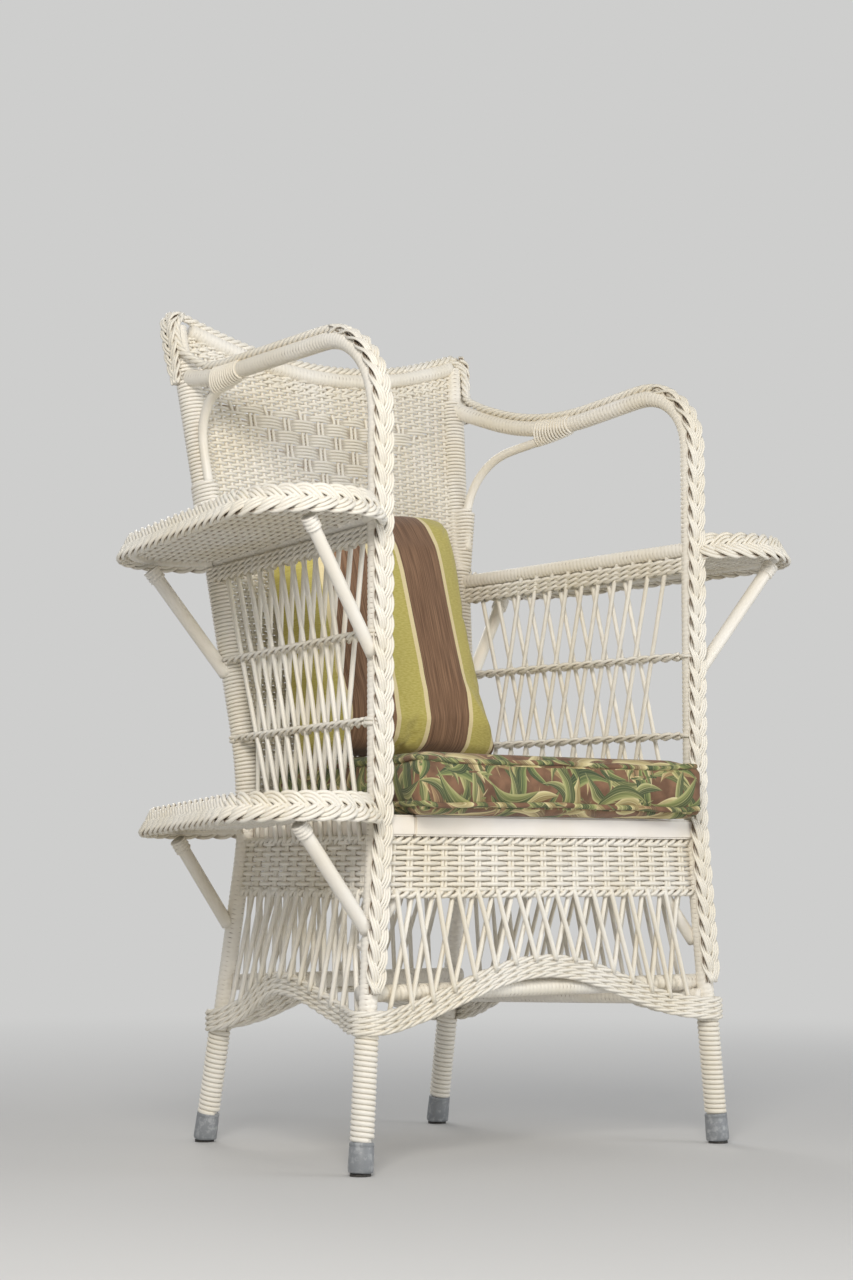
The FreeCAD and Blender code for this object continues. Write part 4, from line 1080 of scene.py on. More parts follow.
# %% Corner plaits and the rope along the top rail
CROWN_REACH = POST_RADIUS + 7 * MM
CROWN_LOW = 2 * MM
CROWN_HIGH = 17 * MM
CROWN_GAP = 14 * MM
RAIL_CLEAR = 13.5 * MM
CORNER_FOOT = 0.952
CORNER_ARC = 70
CORNER_SWING = 10.5 * MM
CORNER_LIFT = 3.0 * MM
CORNER_PERIOD = 78 * MM
CORNER_REED = 2.1 * MM
CORNER_ROUND = 40 * MM
edge = Strands()
crowns = {side: post_lines["back", side][-1] for side in SIDES}
over = {side: [crowns[side] + OUTWARD[side] * CROWN_REACH + UP * CROWN_LOW, crowns[side] + UP * CROWN_HIGH]
        for side in SIDES}
rail_x = rail_line[:, 0]
inner = (rail_x > crowns["left"][0] + CROWN_GAP) & (rail_x < crowns["right"][0] - CROWN_GAP)
between = rail_line[inner] + UP * RAIL_CLEAR
whole = Route(np.concatenate([over["left"], between, over["right"][::-1]]), FORWARD)
s = np.linspace(0, whole.length, int(whole.length / ROPE_STEP))
whole = Route(smooth(whole.place(s), 8), FORWARD)
rope(edge, whole, ROPE_RADIUS, ROPE_REED, ROPE_LAY, count=3)
for side in SIDES:
    line = post_lines["back", side]
    crown = line[-1]
    climb = line[line[:, 2] > CORNER_FOOT]
    arc = np.radians(np.linspace(0, CORNER_ARC, 10))
    bow = crown + (np.cos(arc)[:, None] * OUTWARD[side] + np.sin(arc)[:, None] * UP) * CROWN_REACH
    path = smooth(np.concatenate([climb + OUTWARD[side] * CROWN_REACH, bow]), 3)
    hub = np.concatenate([climb, np.repeat(crown[None], len(arc), axis=0)])
    corner = Route(path, unit(path - hub))
    plait(edge, corner, CORNER_SWING, CORNER_LIFT, CORNER_PERIOD, CORNER_REED, 5, 2, rounded=CORNER_ROUND)
edge.piece("top_edge_plaits", reed_paint, ["top_trim"])

# %% [markdown]
# ## Apron under the seat
#
# A band of plain weave hangs below the seat rail on all four sides, with crossed reeds under it. Its
# weavers pass before one pair of stakes and behind the next, as on the back, and a twisted row closes the
# band above and below.

# %% Bands, crossed reeds and twined rows
BAND_STEP = 6.0 * MM
BAND_STAKE = 26.0 * MM
BAND_SWING = 3.0 * MM
BAND_WEAVER = 2.7 * MM
BAND_REED = 2.3 * MM
BAND_PAIR = 2.6 * MM
BAND_ROPE = 3.0 * MM
BAND_LEVEL = 0.3
LATTICE_SUNK = 7 * MM
CORNERS = {
    "front": (("front", "left"), ("front", "right")),
    "right": (("front", "right"), ("back", "right")),
    "back": (("back", "right"), ("back", "left")),
    "left": (("back", "left"), ("front", "left")),
}


def apron_spot(name, share, height):
    """A point between the two legs of one side."""
    start, end = (post_at(*corner, height) for corner in CORNERS[name])
    return start + share * (end - start)


apron_out = {}
for name in CORNERS:
    run = apron_spot(name, 1.0, BAND_LEVEL) - apron_spot(name, 0.0, BAND_LEVEL)
    apron_out[name] = unit(np.cross(run, UP))
    out = apron_out[name]
    low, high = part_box(f"apron_band_{name}")
    stake_count = int(np.linalg.norm(run) / BAND_STAKE)
    band = Strands()
    heights = np.arange(low.z + 6 * MM, high.z - 4 * MM, BAND_STEP)
    for row, height in enumerate(heights):
        share, swing = sway(np.where((np.arange(stake_count + 1) + row) % 2 == 0, 1.0, -1.0), 6)
        start, end = apron_spot(name, 0.0, height), apron_spot(name, 1.0, height)
        line = start + share[:, None] * (end - start) + (swing * BAND_SWING)[:, None] * out
        band.add(line, out, BAND_WEAVER, depth=0.5 * (1 - np.abs(swing)), shaded=0.3)
    for stake in range(1, stake_count):
        for shift in (-BAND_PAIR, BAND_PAIR):
            slide = (stake + shift / BAND_STAKE) / stake_count
            foot, head = apron_spot(name, slide, low.z), apron_spot(name, slide, high.z)
            band.add(straight(foot, head, 10), out, BAND_REED, depth=0.3)
    for height in (low.z + 1 * MM, high.z - 2 * MM):
        start, end = apron_spot(name, 0.0, height), apron_spot(name, 1.0, height)
        rope(band, Route(straight(start, end, 60), out), BAND_ROPE, BAND_WEAVER, BAND_STAKE)
    band.piece(f"apron_weave_{name}", reed_paint, [f"apron_band_{name}"])
    reeds = Strands()
    trellis(reeds, f"apron_lattice_{name}", out, LATTICE_SUNK)
    reeds.piece(f"apron_reeds_{name}", reed_paint, [f"apron_lattice_{name}"])

# %% [markdown]
# ## Scalloped border
#
# Four ropes side by side edge the apron and rise in a scallop between the legs. The border is one loop:
# at each leg it passes round the outside, and its ends meet in the middle of the back. The rise is read
# from the CAD border, so that the ropes follow the solid.

# %% Scalloped rope border
BORDER_CLEAR = POST_RADIUS + 6.5 * MM
BORDER_HALF = 13 * MM
BORDER_RADIUS = 2.1 * MM
BORDER_REED = 2.3 * MM
BORDER_LAY = 66 * MM
BORDER_ROPES = (-9.9 * MM, -3.3 * MM, 3.3 * MM, 9.9 * MM)
BORDER_LEVEL = 0.2
BORDER_BEND = 75 * MM
BORDER_END = 0.03
SIDE_POINTS = 70
TURN_POINTS = 10


def ease(value):
    """A smooth step from 0 to 1."""
    value = np.clip(value, 0, 1)
    return value * value * (3 - 2 * value)


def scallop(name):
    """Points of one side's border, from leg to leg, bowed out round the legs."""
    points = cad_points(f"apron_border_{name}")
    start, end = apron_spot(name, 0.0, BORDER_LEVEL), apron_spot(name, 1.0, BORDER_LEVEL)
    span = np.linalg.norm(end - start)
    share = (points - start) @ unit(end - start) / span
    peak_share = float(share[points[:, 2] > points[:, 2].max() - 1 * MM].mean())
    peak = points[:, 2].max() - BORDER_HALF
    first = float(points[share < share.min() + BORDER_END, 2].mean())
    last = float(points[share > share.max() - BORDER_END, 2].mean())
    s = np.linspace(0, 1, SIDE_POINTS)
    climb = (1 - np.cos(np.pi * np.clip(s / peak_share, 0, 1))) / 2
    fall = (1 - np.cos(np.pi * np.clip((1 - s) / (1 - peak_share), 0, 1))) / 2
    height = np.where(s < peak_share, first + (peak - first) * climb, last + (peak - last) * fall)
    nearest = np.minimum(s, 1 - s) * span
    proud = BORDER_CLEAR * (1 - ease(nearest / BORDER_BEND))
    spots = np.array([apron_spot(name, k, z) for k, z in zip(s, height)])
    return spots + proud[:, None] * apron_out[name]


loop = []
outs = []
order = list(CORNERS)
for index, name in enumerate(order):
    side_points = scallop(name)
    loop.append(side_points)
    outs.append(np.repeat(apron_out[name][None], len(side_points), axis=0))
    following = order[(index + 1) % len(order)]
    leg = post_at(*CORNERS[name][1], side_points[-1][2])
    turn = np.linspace(0, 1, TURN_POINTS + 2)[1:-1, None]
    heading = unit((1 - turn) * apron_out[name] + turn * apron_out[following])
    loop.append(leg + heading * BORDER_CLEAR)
    outs.append(heading)
loop, outs = np.concatenate(loop), np.concatenate(outs)
hidden_start = 2 * (SIDE_POINTS + TURN_POINTS) + SIDE_POINTS // 2
loop, outs = np.roll(loop, -hidden_start, axis=0), np.roll(outs, -hidden_start, axis=0)
loop, outs = np.concatenate([loop, loop[:3]]), np.concatenate([outs, outs[:3]])
border_route = Route(smooth(loop, 2), smooth(outs, 4))
border = Strands()
for across in BORDER_ROPES:
    rope(border, border_route, BORDER_RADIUS, BORDER_REED, BORDER_LAY, across, count=3, shaded=0.7)
border.piece("apron_rope_border", reed_paint, [f"apron_border_{name}" for name in CORNERS])

# %% [markdown]
# ## Legs and feet
#
# Cord is wound round each leg between the cup at its foot and the border. Grey cups cover the feet, each
# with a thin dark glide under it.


# %% Leg windings, cups and glides
CORD_PITCH = 6.0 * MM
CORD_WIDE = 2.9 * MM
CORD_THICK = 2.2 * MM
CUP = 14.5 * MM
KNEE_HEIGHT = 0.16
SHIN_HEIGHT = 0.06


def lathe(strands, start, end, profile, sides=28):
    """A profile of (distance, radius) turned round the line between two points, flat at the start."""
    axis = unit(end - start)
    across = unit(np.cross(axis, FORWARD))
    upright = np.cross(axis, across)
    angle = 2 * np.pi * np.arange(sides) / sides
    wheel = np.cos(angle)[:, None] * across + np.sin(angle)[:, None] * upright
    rings = np.array([start + axis * far + wheel * radius for far, radius in profile])
    rings[..., 2] = np.maximum(rings[..., 2], start[2])
    strands.skin(rings[:, ::-1], np.zeros(rings.shape[:2]))


for place, side in post_lines:
    route = post_routes[place, side]
    node = f"leg_winding_{place}_{side}"
    low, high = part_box(node)
    stop = climb_end(route.points)
    start, end = np.interp((low.z, high.z + CORD_PITCH), route.points[:stop, 2], route.along[:stop])
    turn = np.arange(0, 2 * np.pi * (end - start) / CORD_PITCH, np.pi / 10)
    s = start + CORD_WIDE + CORD_PITCH * turn / (2 * np.pi)
    reach = POST_RADIUS + CORD_THICK
    line = route.place(s, reach * np.cos(turn), reach * np.sin(turn))
    coil = Strands(8)
    coil.add(line, line - route.place(s), CORD_WIDE, CORD_THICK, shaded=0.9)
    coil.piece(f"leg_cord_{place}_{side}", reed_paint, [node])

cup_grey, start_shade, place_shade, cup_sockets = finish("cup_grey", 0.45)
scuff = start_shade.noise(place_shade, 130.0, 5.0, 0.65)
shine = start_shade.noise(place_shade, 24.0, 3.0)
wire(scuff.ramp(0.45, 0.72).mix(colour(132, 135, 138), colour(168, 170, 172)), cup_sockets["Base Color"])
wire(0.35 + shine * 0.3, cup_sockets["Roughness"])
wire(scuff.bump(0.2, 0.4 * MM), cup_sockets["Normal"])
cups = Strands()
cup_low, cup_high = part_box("leg_ferrules")
for place, side in post_lines:
    knee, shin = post_at(place, side, KNEE_HEIGHT), post_at(place, side, SHIN_HEIGHT)
    drop = (shin - knee) / (knee[2] - shin[2])
    foot, head = shin + drop * (shin[2] - cup_low.z), shin + drop * (shin[2] - cup_high.z)
    tall = float(np.linalg.norm(head - foot))
    toe = [(0.0, CUP - 2.5 * MM), (0.7 * MM, CUP - 1.0 * MM), (2.0 * MM, CUP - 0.3 * MM), (5.0 * MM, CUP)]
    groove = [(tall - 6 * MM, CUP - 0.4 * MM), (tall - 5 * MM, CUP - 1.0 * MM),
              (tall - 4 * MM, CUP - 0.4 * MM)]
    brim = [(tall - 1.0 * MM, CUP - 0.5 * MM), (tall, CUP - 1.6 * MM)]
    lathe(cups, foot, head, toe + groove + brim)
cups.piece("leg_cups", cup_grey, ["leg_ferrules"], slot="ferrule_grey")

glide_dark, start_shade, place_shade, glide_sockets = finish("glide_dark", 0.6)
grit = start_shade.noise(place_shade, 300.0, 4.0)
wire(grit.ramp(0.4, 0.7).mix(colour(38, 36, 34), colour(66, 62, 57)), glide_sockets["Base Color"])
wire(grit.bump(0.3, 0.3 * MM), glide_sockets["Normal"])
for slot in nodes["leg_glides"].material_slots:
    slot.material = glide_dark

# %% [markdown]
# ## Seat boards
#
# The seat frame is sawn wood, butted at the corners and painted with the rest. A copy of each board gets
# eased edges, which catch the light. The slats under the cushion stay as they are.


# %% Eased seat rails
def eased_board(node, radius):
    """A copy of a board with its sharp edges rounded."""
    shape = bmesh.new()
    shape.from_mesh(nodes[node].data)
    bmesh.ops.remove_doubles(shape, verts=shape.verts, dist=0.01 * MM)
    bmesh.ops.dissolve_limit(shape, angle_limit=math.radians(2), verts=shape.verts, edges=shape.edges)
    sharp = [edge for edge in shape.edges if edge.is_manifold and edge.calc_face_angle() > math.radians(40)]
    bmesh.ops.bevel(shape, geom=sharp, offset=radius, segments=3, affect="EDGES", clamp_overlap=True)
    mesh = bpy.data.meshes.new(f"{node}_board")
    shape.to_mesh(mesh)
    shape.free()
    mesh.polygons.foreach_set("use_smooth", [False] * len(mesh.polygons))
    mesh.materials.append(board_paint)
    board = bpy.data.objects.new(f"{node}_board", mesh)
    scene.collection.objects.link(board)
    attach(board, "frame")
    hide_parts(node)


for name in CORNERS:
    eased_board(f"seat_rail_{name}", 2.2 * MM)
for slot in nodes["seat_slats"].material_slots:
    slot.material = board_paint
print("seat boards eased")

# %% [markdown]
# ## Cushions
#
# Each cushion starts as its CAD solid. A voxel remesh gives it an even skin, drawn in a little, and cloth
# under pressure swells that skin, so the panels crown and the edges round off as stuffed fabric does. The
# swell has a cap, and nothing sinks below the surface that the cushion lies on. Fabric coordinates are
# kept on each face corner, because the remesh has no seams of its own.


# %% Stuffing a cushion
VOXEL = 5.0 * MM
SWELL_FRAMES = 20


def settled_mesh(piece):
    """The mesh of a piece with its modifiers applied."""
    seen = piece.evaluated_get(bpy.context.evaluated_depsgraph_get())
    mesh = bpy.data.meshes.new_from_object(seen)
    piece.modifiers.clear()
    piece.data = mesh
    return mesh


def mesh_points(mesh):
    """The points of a mesh as an array."""
    return np.array([vertex.co for vertex in mesh.vertices])


def stuff(name, node, shape, drawn_in, softened, pressure, cap):
    """A cushion piece from its CAD solid: reshaped, drawn in, then swollen by cloth."""
    piece = bpy.data.objects.new(name, nodes[node].data.copy())
    scene.collection.objects.link(piece)
    remesh = piece.modifiers.new("skin", "REMESH")
    remesh.mode = "VOXEL"
    remesh.voxel_size = VOXEL
    even = piece.modifiers.new("even", "SMOOTH")
    even.factor = 0.5
    even.iterations = softened
    mesh = settled_mesh(piece)
    normals = np.array([vertex.normal for vertex in mesh.vertices])
    start = shape(mesh_points(mesh)) - normals * drawn_in
    mesh.vertices.foreach_set("co", start.astype(np.float32).ravel())
    cloth = piece.modifiers.new("swell", "CLOTH")
    cloth.settings.quality = 5
    cloth.settings.use_pressure = True
    cloth.settings.uniform_pressure_force = pressure
    cloth.settings.effector_weights.gravity = 0.0
    cloth.settings.bending_stiffness = 0.6
    cloth.point_cache.frame_end = SWELL_FRAMES
    for step in range(1, SWELL_FRAMES + 1):
        scene.frame_set(step)
    mesh = settled_mesh(piece)
    moved = mesh_points(mesh) - start
    far = np.linalg.norm(moved, axis=1, keepdims=True)
    end = start + moved * np.minimum(1.0, cap / np.maximum(far, 1e-9))
    mesh.vertices.foreach_set("co", end.astype(np.float32).ravel())
    return piece


def level_off(piece, low):
    """Flatten what would sink below the surface that a cushion lies on."""
    points = mesh_points(piece.data)
    points[:, 2] = np.maximum(points[:, 2], low)
    piece.data.vertices.foreach_set("co", points.astype(np.float32).ravel())


def finish_cushion(piece, node, fabric, lay):
    """Subdivide once, write the fabric coordinates and hand the piece to its body."""
    piece.modifiers.new("fine", "SUBSURF").levels = 1
    mesh = settled_mesh(piece)
    mesh.polygons.foreach_set("use_smooth", [True] * len(mesh.polygons))
    mesh.materials.clear()
    mesh.materials.append(fabric)
    points = mesh_points(mesh)
    corners = np.array([loop.vertex_index for loop in mesh.loops])
    faces = np.repeat(np.array([polygon.normal for polygon in mesh.polygons]),
                      [polygon.loop_total for polygon in mesh.polygons], axis=0)
    weave = mesh.attributes.new("cloth", "FLOAT_VECTOR", "CORNER")
    weave.data.foreach_set("vector", lay(points[corners], faces).astype(np.float32).ravel())
    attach(piece, node)
    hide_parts(node)
    print(piece.name, len(mesh.vertices), "points")

# %% [markdown]
# ## Fabrics
#
# The back cushion is striped ticking: broad brown and lime green stripes, edged with cream. The seat is
# a printed foliage of no particular plant. Each layer of the print sets one bent leaf in each square of
# a grid, turned by a random amount, with a dark half, a light half and a pale hem. Twelve layers of
# different sizes overlap, with some of the brown ground left between them.


# %% Striped ticking and printed leaves
STRIPE_GREEN = 42.0 * MM
STRIPE_EDGE = 7.0 * MM
STRIPE_BROWN = 67.0 * MM
STRIPE_START = 17.0 * MM
THREAD_RATE = 4200.0
FULL_TURN = 6.283


def split(start, place):
    """The three coordinates of a place."""
    return [start.node("ShaderNodeSeparateXYZ", None, {0: place}, axis) for axis in range(3)]


def woven(start, place, u, v):
    """Height of a plain weave with slubs, for a fabric's bump."""
    threads = start.maths("SINE", u * THREAD_RATE) * start.maths("SINE", v * THREAD_RATE)
    return threads * 0.5 + start.noise(place, 260.0, 3.0)


def ticking(name):
    """Brown and green stripes with cream edges, streaked along the threads."""
    material, start, place, sockets = finish(name, 0.85)
    cloth = start.node("ShaderNodeAttribute", {"attribute_name": "cloth"}, None, 1)
    u, v, _ = split(start, cloth)
    step = (u - STRIPE_START) % (STRIPE_BROWN + STRIPE_GREEN + 2 * STRIPE_EDGE)
    streak = start.noise(start.node("ShaderNodeCombineXYZ", None, {0: u * 900.0, 1: v * 14.0}), 1.0, 3.0)
    slub = start.noise(start.node("ShaderNodeCombineXYZ", None, {0: u * 160.0, 1: v * 900.0}), 1.0, 2.0)
    green = slub.ramp(0.3, 0.7).mix(colour(184, 170, 84), colour(204, 192, 112))
    brown = streak.ramp(0.35, 0.65).mix(colour(100, 71, 50), colour(148, 114, 86))
    cream = slub.mix(colour(226, 206, 150), colour(240, 226, 184))
    lime = (step > STRIPE_BROWN + STRIPE_EDGE) * (step < STRIPE_BROWN + STRIPE_EDGE + STRIPE_GREEN)
    wire((step < STRIPE_BROWN).mix(lime.mix(cream, green), brown), sockets["Base Color"])
    wire(woven(start, place, u, v).bump(0.25, 0.5 * MM), sockets["Normal"])
    sockets["Sheen Weight"].default_value = 0.15
    return material


def leaf_layer(start, u, v, size, seed, bend):
    """One leaf in each square of a grid: where it is, which half is lit, and its veins and hem."""
    across, along = u / size + seed * 0.37, v / size + seed * 0.61
    column, row = start.maths("FLOOR", across), start.maths("FLOOR", along)
    spot = start.node("ShaderNodeCombineXYZ", None, {0: column, 1: row, 2: seed})
    chance_turn = start.node("ShaderNodeTexWhiteNoise", None, {"Vector": spot})
    angle = chance_turn * FULL_TURN
    x, y = across - column - 0.5, along - row - 0.5
    cosine, sine = start.maths("COSINE", angle), start.maths("SINE", angle)
    run = x * cosine + y * sine
    side = y * cosine - x * sine - bend * (run * run - 0.08)
    half = 0.092 * (1 - (run * 2.1) ** 2) * (run + 1.1)
    inside = (half - abs(side)).ramp(0.0, 0.012)
    flank = side / start.maths("MAXIMUM", half, 0.01)
    lit = flank.ramp(-0.35, 0.75)
    streak = start.maths("SINE", (side * 16.0 + run) * 11.0).ramp(0.2, 1.0)
    hem = flank.ramp(0.45, 0.95)
    rib = (abs(side) < 0.006) * 0.5 + streak * 0.25 + hem * 0.8
    return inside, lit, rib


def foliage(name):
    """Printed leaves in overlapping layers over a brown ground."""
    material, start, place, sockets = finish(name, 0.8)
    cloth = start.node("ShaderNodeAttribute", {"attribute_name": "cloth"}, None, 1)
    u, v, _ = split(start, cloth)
    shade = start.noise(place, 55.0, 3.0)
    tint = shade.ramp(0.3, 0.7).mix(colour(104, 74, 52), colour(136, 100, 74))
    # Each row: size, seed, bend, and the colours of the dark half, the light half and the veins.
    layers = (
        (84 * MM, 9.0, -1.1, (96, 102, 60), (160, 156, 100), (214, 204, 150)),
        (76 * MM, 10.0, 0.9, (66, 78, 48), (112, 122, 70), (186, 182, 122)),
        (88 * MM, 1.0, 1.0, (74, 84, 50), (124, 130, 76), (188, 182, 124)),
        (68 * MM, 2.0, -0.9, (150, 124, 84), (198, 178, 126), (228, 214, 168)),
        (98 * MM, 3.0, 1.3, (60, 74, 46), (106, 120, 68), (178, 176, 116)),
        (64 * MM, 4.0, -1.2, (88, 96, 54), (180, 172, 112), (222, 212, 160)),
        (84 * MM, 5.0, 0.8, (112, 86, 62), (158, 128, 92), (200, 174, 130)),
        (60 * MM, 6.0, 1.1, (58, 72, 44), (110, 124, 70), (190, 186, 126)),
        (66 * MM, 7.0, -1.0, (72, 82, 50), (144, 146, 90), (216, 208, 154)),
        (92 * MM, 8.0, 0.9, (132, 110, 76), (206, 190, 138), (234, 222, 178)),
        (74 * MM, 11.0, -1.2, (150, 132, 86), (208, 194, 138), (236, 226, 182)),
        (90 * MM, 12.0, 1.0, (78, 88, 52), (136, 142, 84), (204, 198, 140)),
    )
    for size, seed, bend, dark, light, vein in layers:
        inside, lit, rib = leaf_layer(start, u, v, size, seed, bend)
        blade = lit.mix(colour(*dark), colour(*light))
        tint = inside.mix(tint, (rib * 0.7).mix(blade, colour(*vein)))
    wire(tint, sockets["Base Color"])
    wire(woven(start, place, u, v).bump(0.25, 0.5 * MM), sockets["Normal"])
    sockets["Sheen Weight"].default_value = 0.1
    return material


stripe_fabric = ticking("stripe_fabric")
leaf_fabric = foliage("leaf_fabric")

# %% [markdown]
# ## Seat cushion
#
# The seat cushion is boxed: two panels with a band between them, and a welt sewn into each seam. Firm foam
# fills it, so its CAD crown is flattened before it is stuffed. Each welt starts as the seam of the CAD
# solid and is laid on the swollen skin by looking for the nearest point of it.

# %% Seat cushion and its welts
SEAT_EDGE = 60.0 * MM
SEAT_FIRM = 1.1
SEAT_CROWN = 0.4
BOXING_RISE = 0.31
BOXING_SHIFT = 0.73
WELT = 3.3 * MM
WELT_PROUD = 1.8 * MM
WELT_STEP = 4 * MM
WELT_LIFTS = {SEAT_EDGE: 6 * MM, 0.0: 13 * MM}
seat_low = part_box("seat_cushion")[0]
seat_points = cad_points("seat_cushion")


def seat_lay(points, faces):
    """Panels take the fabric from above, the boxing takes it from its own face."""
    flat = np.abs(faces[:, 2:]) > 0.55
    front = np.abs(faces[:, 1:2]) > np.abs(faces[:, :1])
    zero = np.zeros(len(points))
    panel = np.stack([points[:, 0], points[:, 1], zero], axis=1)
    before = np.stack([points[:, 0], points[:, 2] + BOXING_RISE, zero], axis=1)
    beside = np.stack([points[:, 1] + BOXING_SHIFT, points[:, 2] + BOXING_RISE, zero], axis=1)
    return np.where(flat, panel, np.where(front, before, beside))


def fill_edges(points):
    """Stretch the boxing up until the top is nearly flat, as firm foam makes it."""
    rise = points[:, 2] - seat_low.z
    crown = np.maximum(rise - SEAT_EDGE, 0)
    moved = points.copy()
    moved[:, 2] = seat_low.z + np.minimum(rise, SEAT_EDGE) * SEAT_FIRM + crown * SEAT_CROWN
    return moved


seat_cushion = stuff("seat_cushion_pad", "seat_cushion", fill_edges,
                     drawn_in=1.5 * MM, softened=2, pressure=2.0, cap=5 * MM)
level_off(seat_cushion, seat_low.z)
finish_cushion(seat_cushion, "seat_cushion", leaf_fabric, seat_lay)


def seam_loop(level):
    """Corner points of the CAD cushion at one level, in order round it."""
    ring = seat_points[np.abs(seat_points[:, 2] - level) < 0.4 * MM]
    ring = np.unique(np.round(ring, 5), axis=0)
    middle = ring.mean(axis=0)
    order = np.argsort(np.arctan2(ring[:, 1] - middle[1], ring[:, 0] - middle[0]))
    ring = ring[order]
    closed = np.concatenate([ring, ring[:1]])
    gaps = np.concatenate([[0.0], np.cumsum(np.linalg.norm(np.diff(closed, axis=0), axis=1))])
    s = np.linspace(0, gaps[-1], int(gaps[-1] / WELT_STEP))
    return np.stack([np.interp(s, gaps, closed[:, axis]) for axis in range(3)], axis=1)


skin = BVHTree.FromPolygons(
    [tuple(vertex.co) for vertex in seat_cushion.data.vertices],
    [tuple(polygon.vertices) for polygon in seat_cushion.data.polygons],
)
welts = Strands(10)
for rise, lift in WELT_LIFTS.items():
    loop = seam_loop(seat_low.z + rise)
    loop[:, 2] += lift
    found = [skin.find_nearest(tuple(spot)) for spot in loop]
    line = np.array([hit[0] + hit[1] * WELT_PROUD for hit in found])
    out = np.array([hit[1] for hit in found])
    step = np.arange(len(line))
    line[:, 2] += np.sin(step * 0.21) * 0.5 * MM + np.sin(step * 0.083) * 0.8 * MM
    line = np.concatenate([line[:-1], line[:3]])
    welts.add(smooth(line, 3), np.concatenate([out[:-1], out[:3]]), WELT)
welt_piece = welts.piece("seat_cushion_welts", leaf_fabric, body="seat_cushion", slot="seat_fabric")
welt_weave = welt_piece.data.attributes.new("cloth", "FLOAT_VECTOR", "CORNER")
welt_points = mesh_points(welt_piece.data)[[loop.vertex_index for loop in welt_piece.data.loops]]
bias = np.stack([welt_points[:, 0] + welt_points[:, 2], welt_points[:, 1] - welt_points[:, 2] + 0.2,
                 np.zeros(len(welt_points))], axis=1)
welt_weave.data.foreach_set("vector", bias.astype(np.float32).ravel())

# %% [markdown]
# ## Back cushion
#
# The pillow stands on the seat and leans on the back. Before it is stuffed its upper corners are drawn in
# along a rounded square, its foot narrows a little, and its front is filled out where it sits.

# %% Back cushion
PILLOW_HALF = 170.0 * MM
PILLOW_HEIGHT = 352.0 * MM
PILLOW_CORNER = 8.0
PILLOW_SHOULDER = 110.0 * MM
PILLOW_WAIST = 0.055
PILLOW_PLUMP = 0.035
pillow_points = cad_points("back_cushion")
pillow_low, pillow_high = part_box("back_cushion")
pillow_foot = pillow_points[pillow_points[:, 2] < pillow_low.z + 1 * MM].mean(axis=0)
pillow_head = pillow_points[pillow_points[:, 2] > pillow_high.z - 1 * MM].mean(axis=0)
pillow_up = unit((pillow_head - pillow_foot) * (0.0, 1.0, 1.0))
pillow_front = np.cross(pillow_up, (1.0, 0.0, 0.0))
pillow_front = pillow_front if pillow_front @ FORWARD > 0 else -pillow_front


def slump(points):
    """Round the pillow's upper corners, and let its front sit full on the seat."""
    rise = (points - pillow_foot) @ pillow_up
    across = points[:, 0] / PILLOW_HALF
    height = rise / PILLOW_HEIGHT * 2 - 1
    largest = np.maximum(np.abs(across), np.abs(height))
    reach = (np.abs(across) ** PILLOW_CORNER + np.abs(height) ** PILLOW_CORNER) ** (1 / PILLOW_CORNER)
    share = np.where(height > 0, np.clip(largest / np.maximum(reach, 1e-9), 0, 1), 1.0)
    moved = points.copy()
    moved[:, 0] *= share * (1 - PILLOW_WAIST * (1 - rise / PILLOW_HEIGHT))
    moved += ((height * share - height) * PILLOW_HEIGHT / 2 + rise * PILLOW_PLUMP)[:, None] * pillow_up
    climb = np.clip(1 - rise / PILLOW_SHOULDER, 0, 1)
    proud = np.maximum((points - pillow_foot) @ pillow_front, 0)
    fuller = (1 - climb**4) ** 0.25 / np.maximum((1 - climb**2) ** 0.5, 0.2)
    inner = 1 - np.clip(np.abs(across), 0, 1) ** 3
    return moved + (proud * inner * (np.maximum(fuller, 1) - 1))[:, None] * pillow_front


def pillow_lay(points, _faces):
    """Stripes run up the pillow, so the fabric is measured across and up it."""
    rise = (points - pillow_foot) @ pillow_up
    return np.stack([points[:, 0], rise, np.zeros(len(points))], axis=1)


back_cushion = stuff("back_cushion_pad", "back_cushion", slump,
                     drawn_in=2.0 * MM, softened=5, pressure=3.0, cap=7 * MM)
level_off(back_cushion, pillow_low.z)
finish_cushion(back_cushion, "back_cushion", stripe_fabric, pillow_lay)

# %% [markdown]
# ## Floor and room
#
# The chair stands on a plain pale floor that keeps its shadow and runs out into the same pale grey. The
# room's light on the chair stays at its own level: only what the camera sees, straight or in a
# reflection, is given the backdrop's colour.


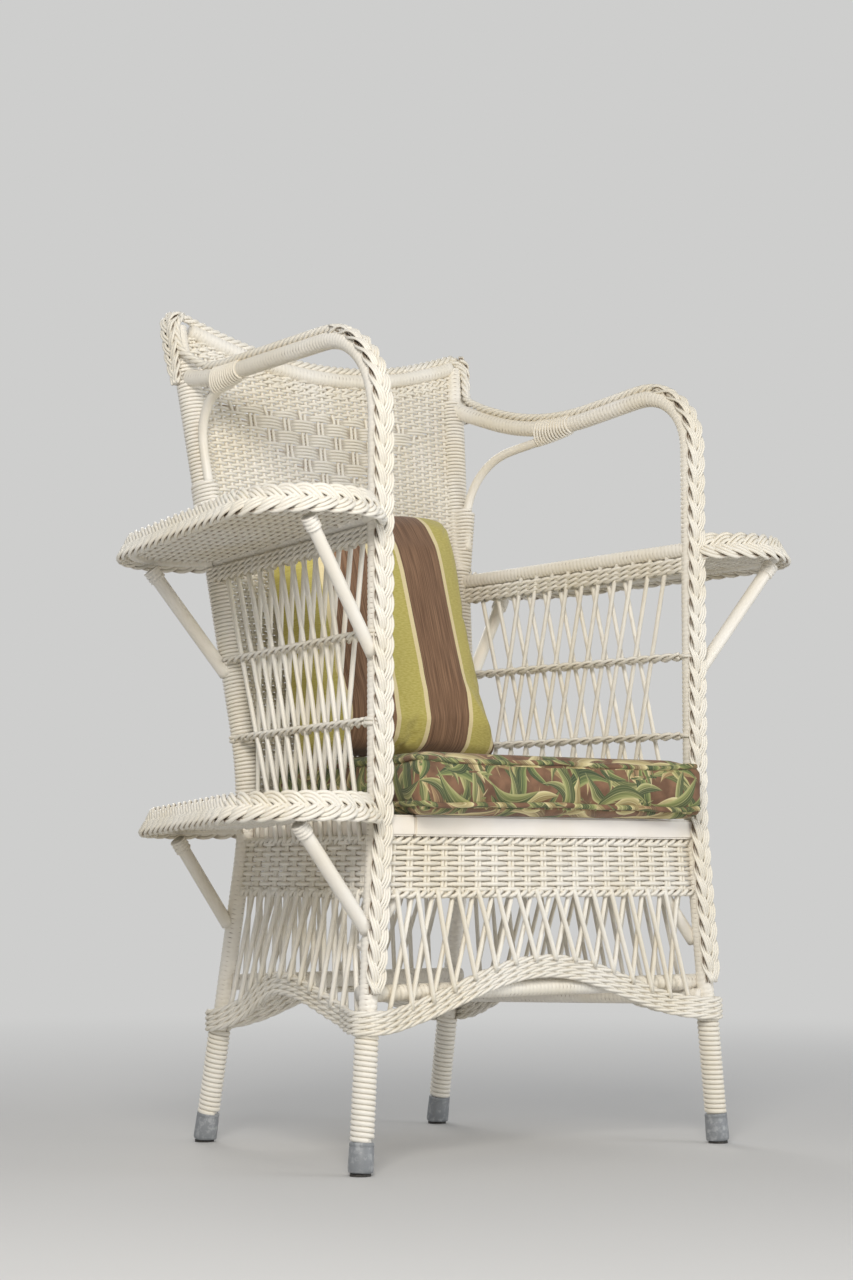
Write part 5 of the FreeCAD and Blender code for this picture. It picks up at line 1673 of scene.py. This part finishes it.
# %% Pale floor and room
BACKDROP = colour(206, 206, 205)
FLOOR_TONE = colour(206, 205, 203)
FLOOR_HALF = 12.0
FLOOR_NEAR = 0.6
FLOOR_FAR = 3.2
ROOM_TINT = (0.92, 0.95, 1.0, 1.0)
ROOM_LEVEL = 0.42


def in_sight(start):
    """1 for rays the camera sends, straight, off a gloss or through glass."""
    camera_ray, glossy, through = (
        start.node("ShaderNodeLightPath", None, None, f"Is {kind} Ray")
        for kind in ("Camera", "Glossy", "Transmission")
    )
    return start.maths("MINIMUM", camera_ray + glossy + through, 1.0)


floor_paint, start, place, floor_sockets = finish("floor_paint", 0.9)
floor_sockets["Base Color"].default_value = FLOOR_TONE
away = start.node("ShaderNodeVectorMath", {"operation": "LENGTH"}, {0: place}, 1)
glow = start.node("ShaderNodeEmission", None, {"Color": BACKDROP, "Strength": 1.0})
lit = Shade(start.tree, start.tree.nodes["Principled BSDF"].outputs[0])
far_off = away.ramp(FLOOR_NEAR, FLOOR_FAR) * in_sight(start)
faded = start.node("ShaderNodeMixShader", None, {0: far_off, 1: lit, 2: glow})
wire(faded, start.tree.nodes["Material Output"].inputs[0])
floor_mesh = bpy.data.meshes.new("floor")
floor_corners = [(-FLOOR_HALF, -FLOOR_HALF, 0.0), (FLOOR_HALF, -FLOOR_HALF, 0.0),
                 (FLOOR_HALF, FLOOR_HALF, 0.0), (-FLOOR_HALF, FLOOR_HALF, 0.0)]
floor_mesh.from_pydata(floor_corners, [], [(0, 1, 2, 3)])
floor_mesh.materials.append(floor_paint)
floor = bpy.data.objects.new("floor", floor_mesh)
scene.collection.objects.link(floor)

world = bpy.data.worlds.new("pale_room")
world.use_nodes = True
room = Shade(world.node_tree)
light = room.node("ShaderNodeBackground", None, {"Color": ROOM_TINT, "Strength": ROOM_LEVEL})
plain = room.node("ShaderNodeBackground", None, {"Color": BACKDROP, "Strength": 1.0})
seen = room.node("ShaderNodeMixShader", None, {0: in_sight(room), 1: light, 2: plain})
wire(seen, world.node_tree.nodes["World Output"].inputs[0])
scene.world = world
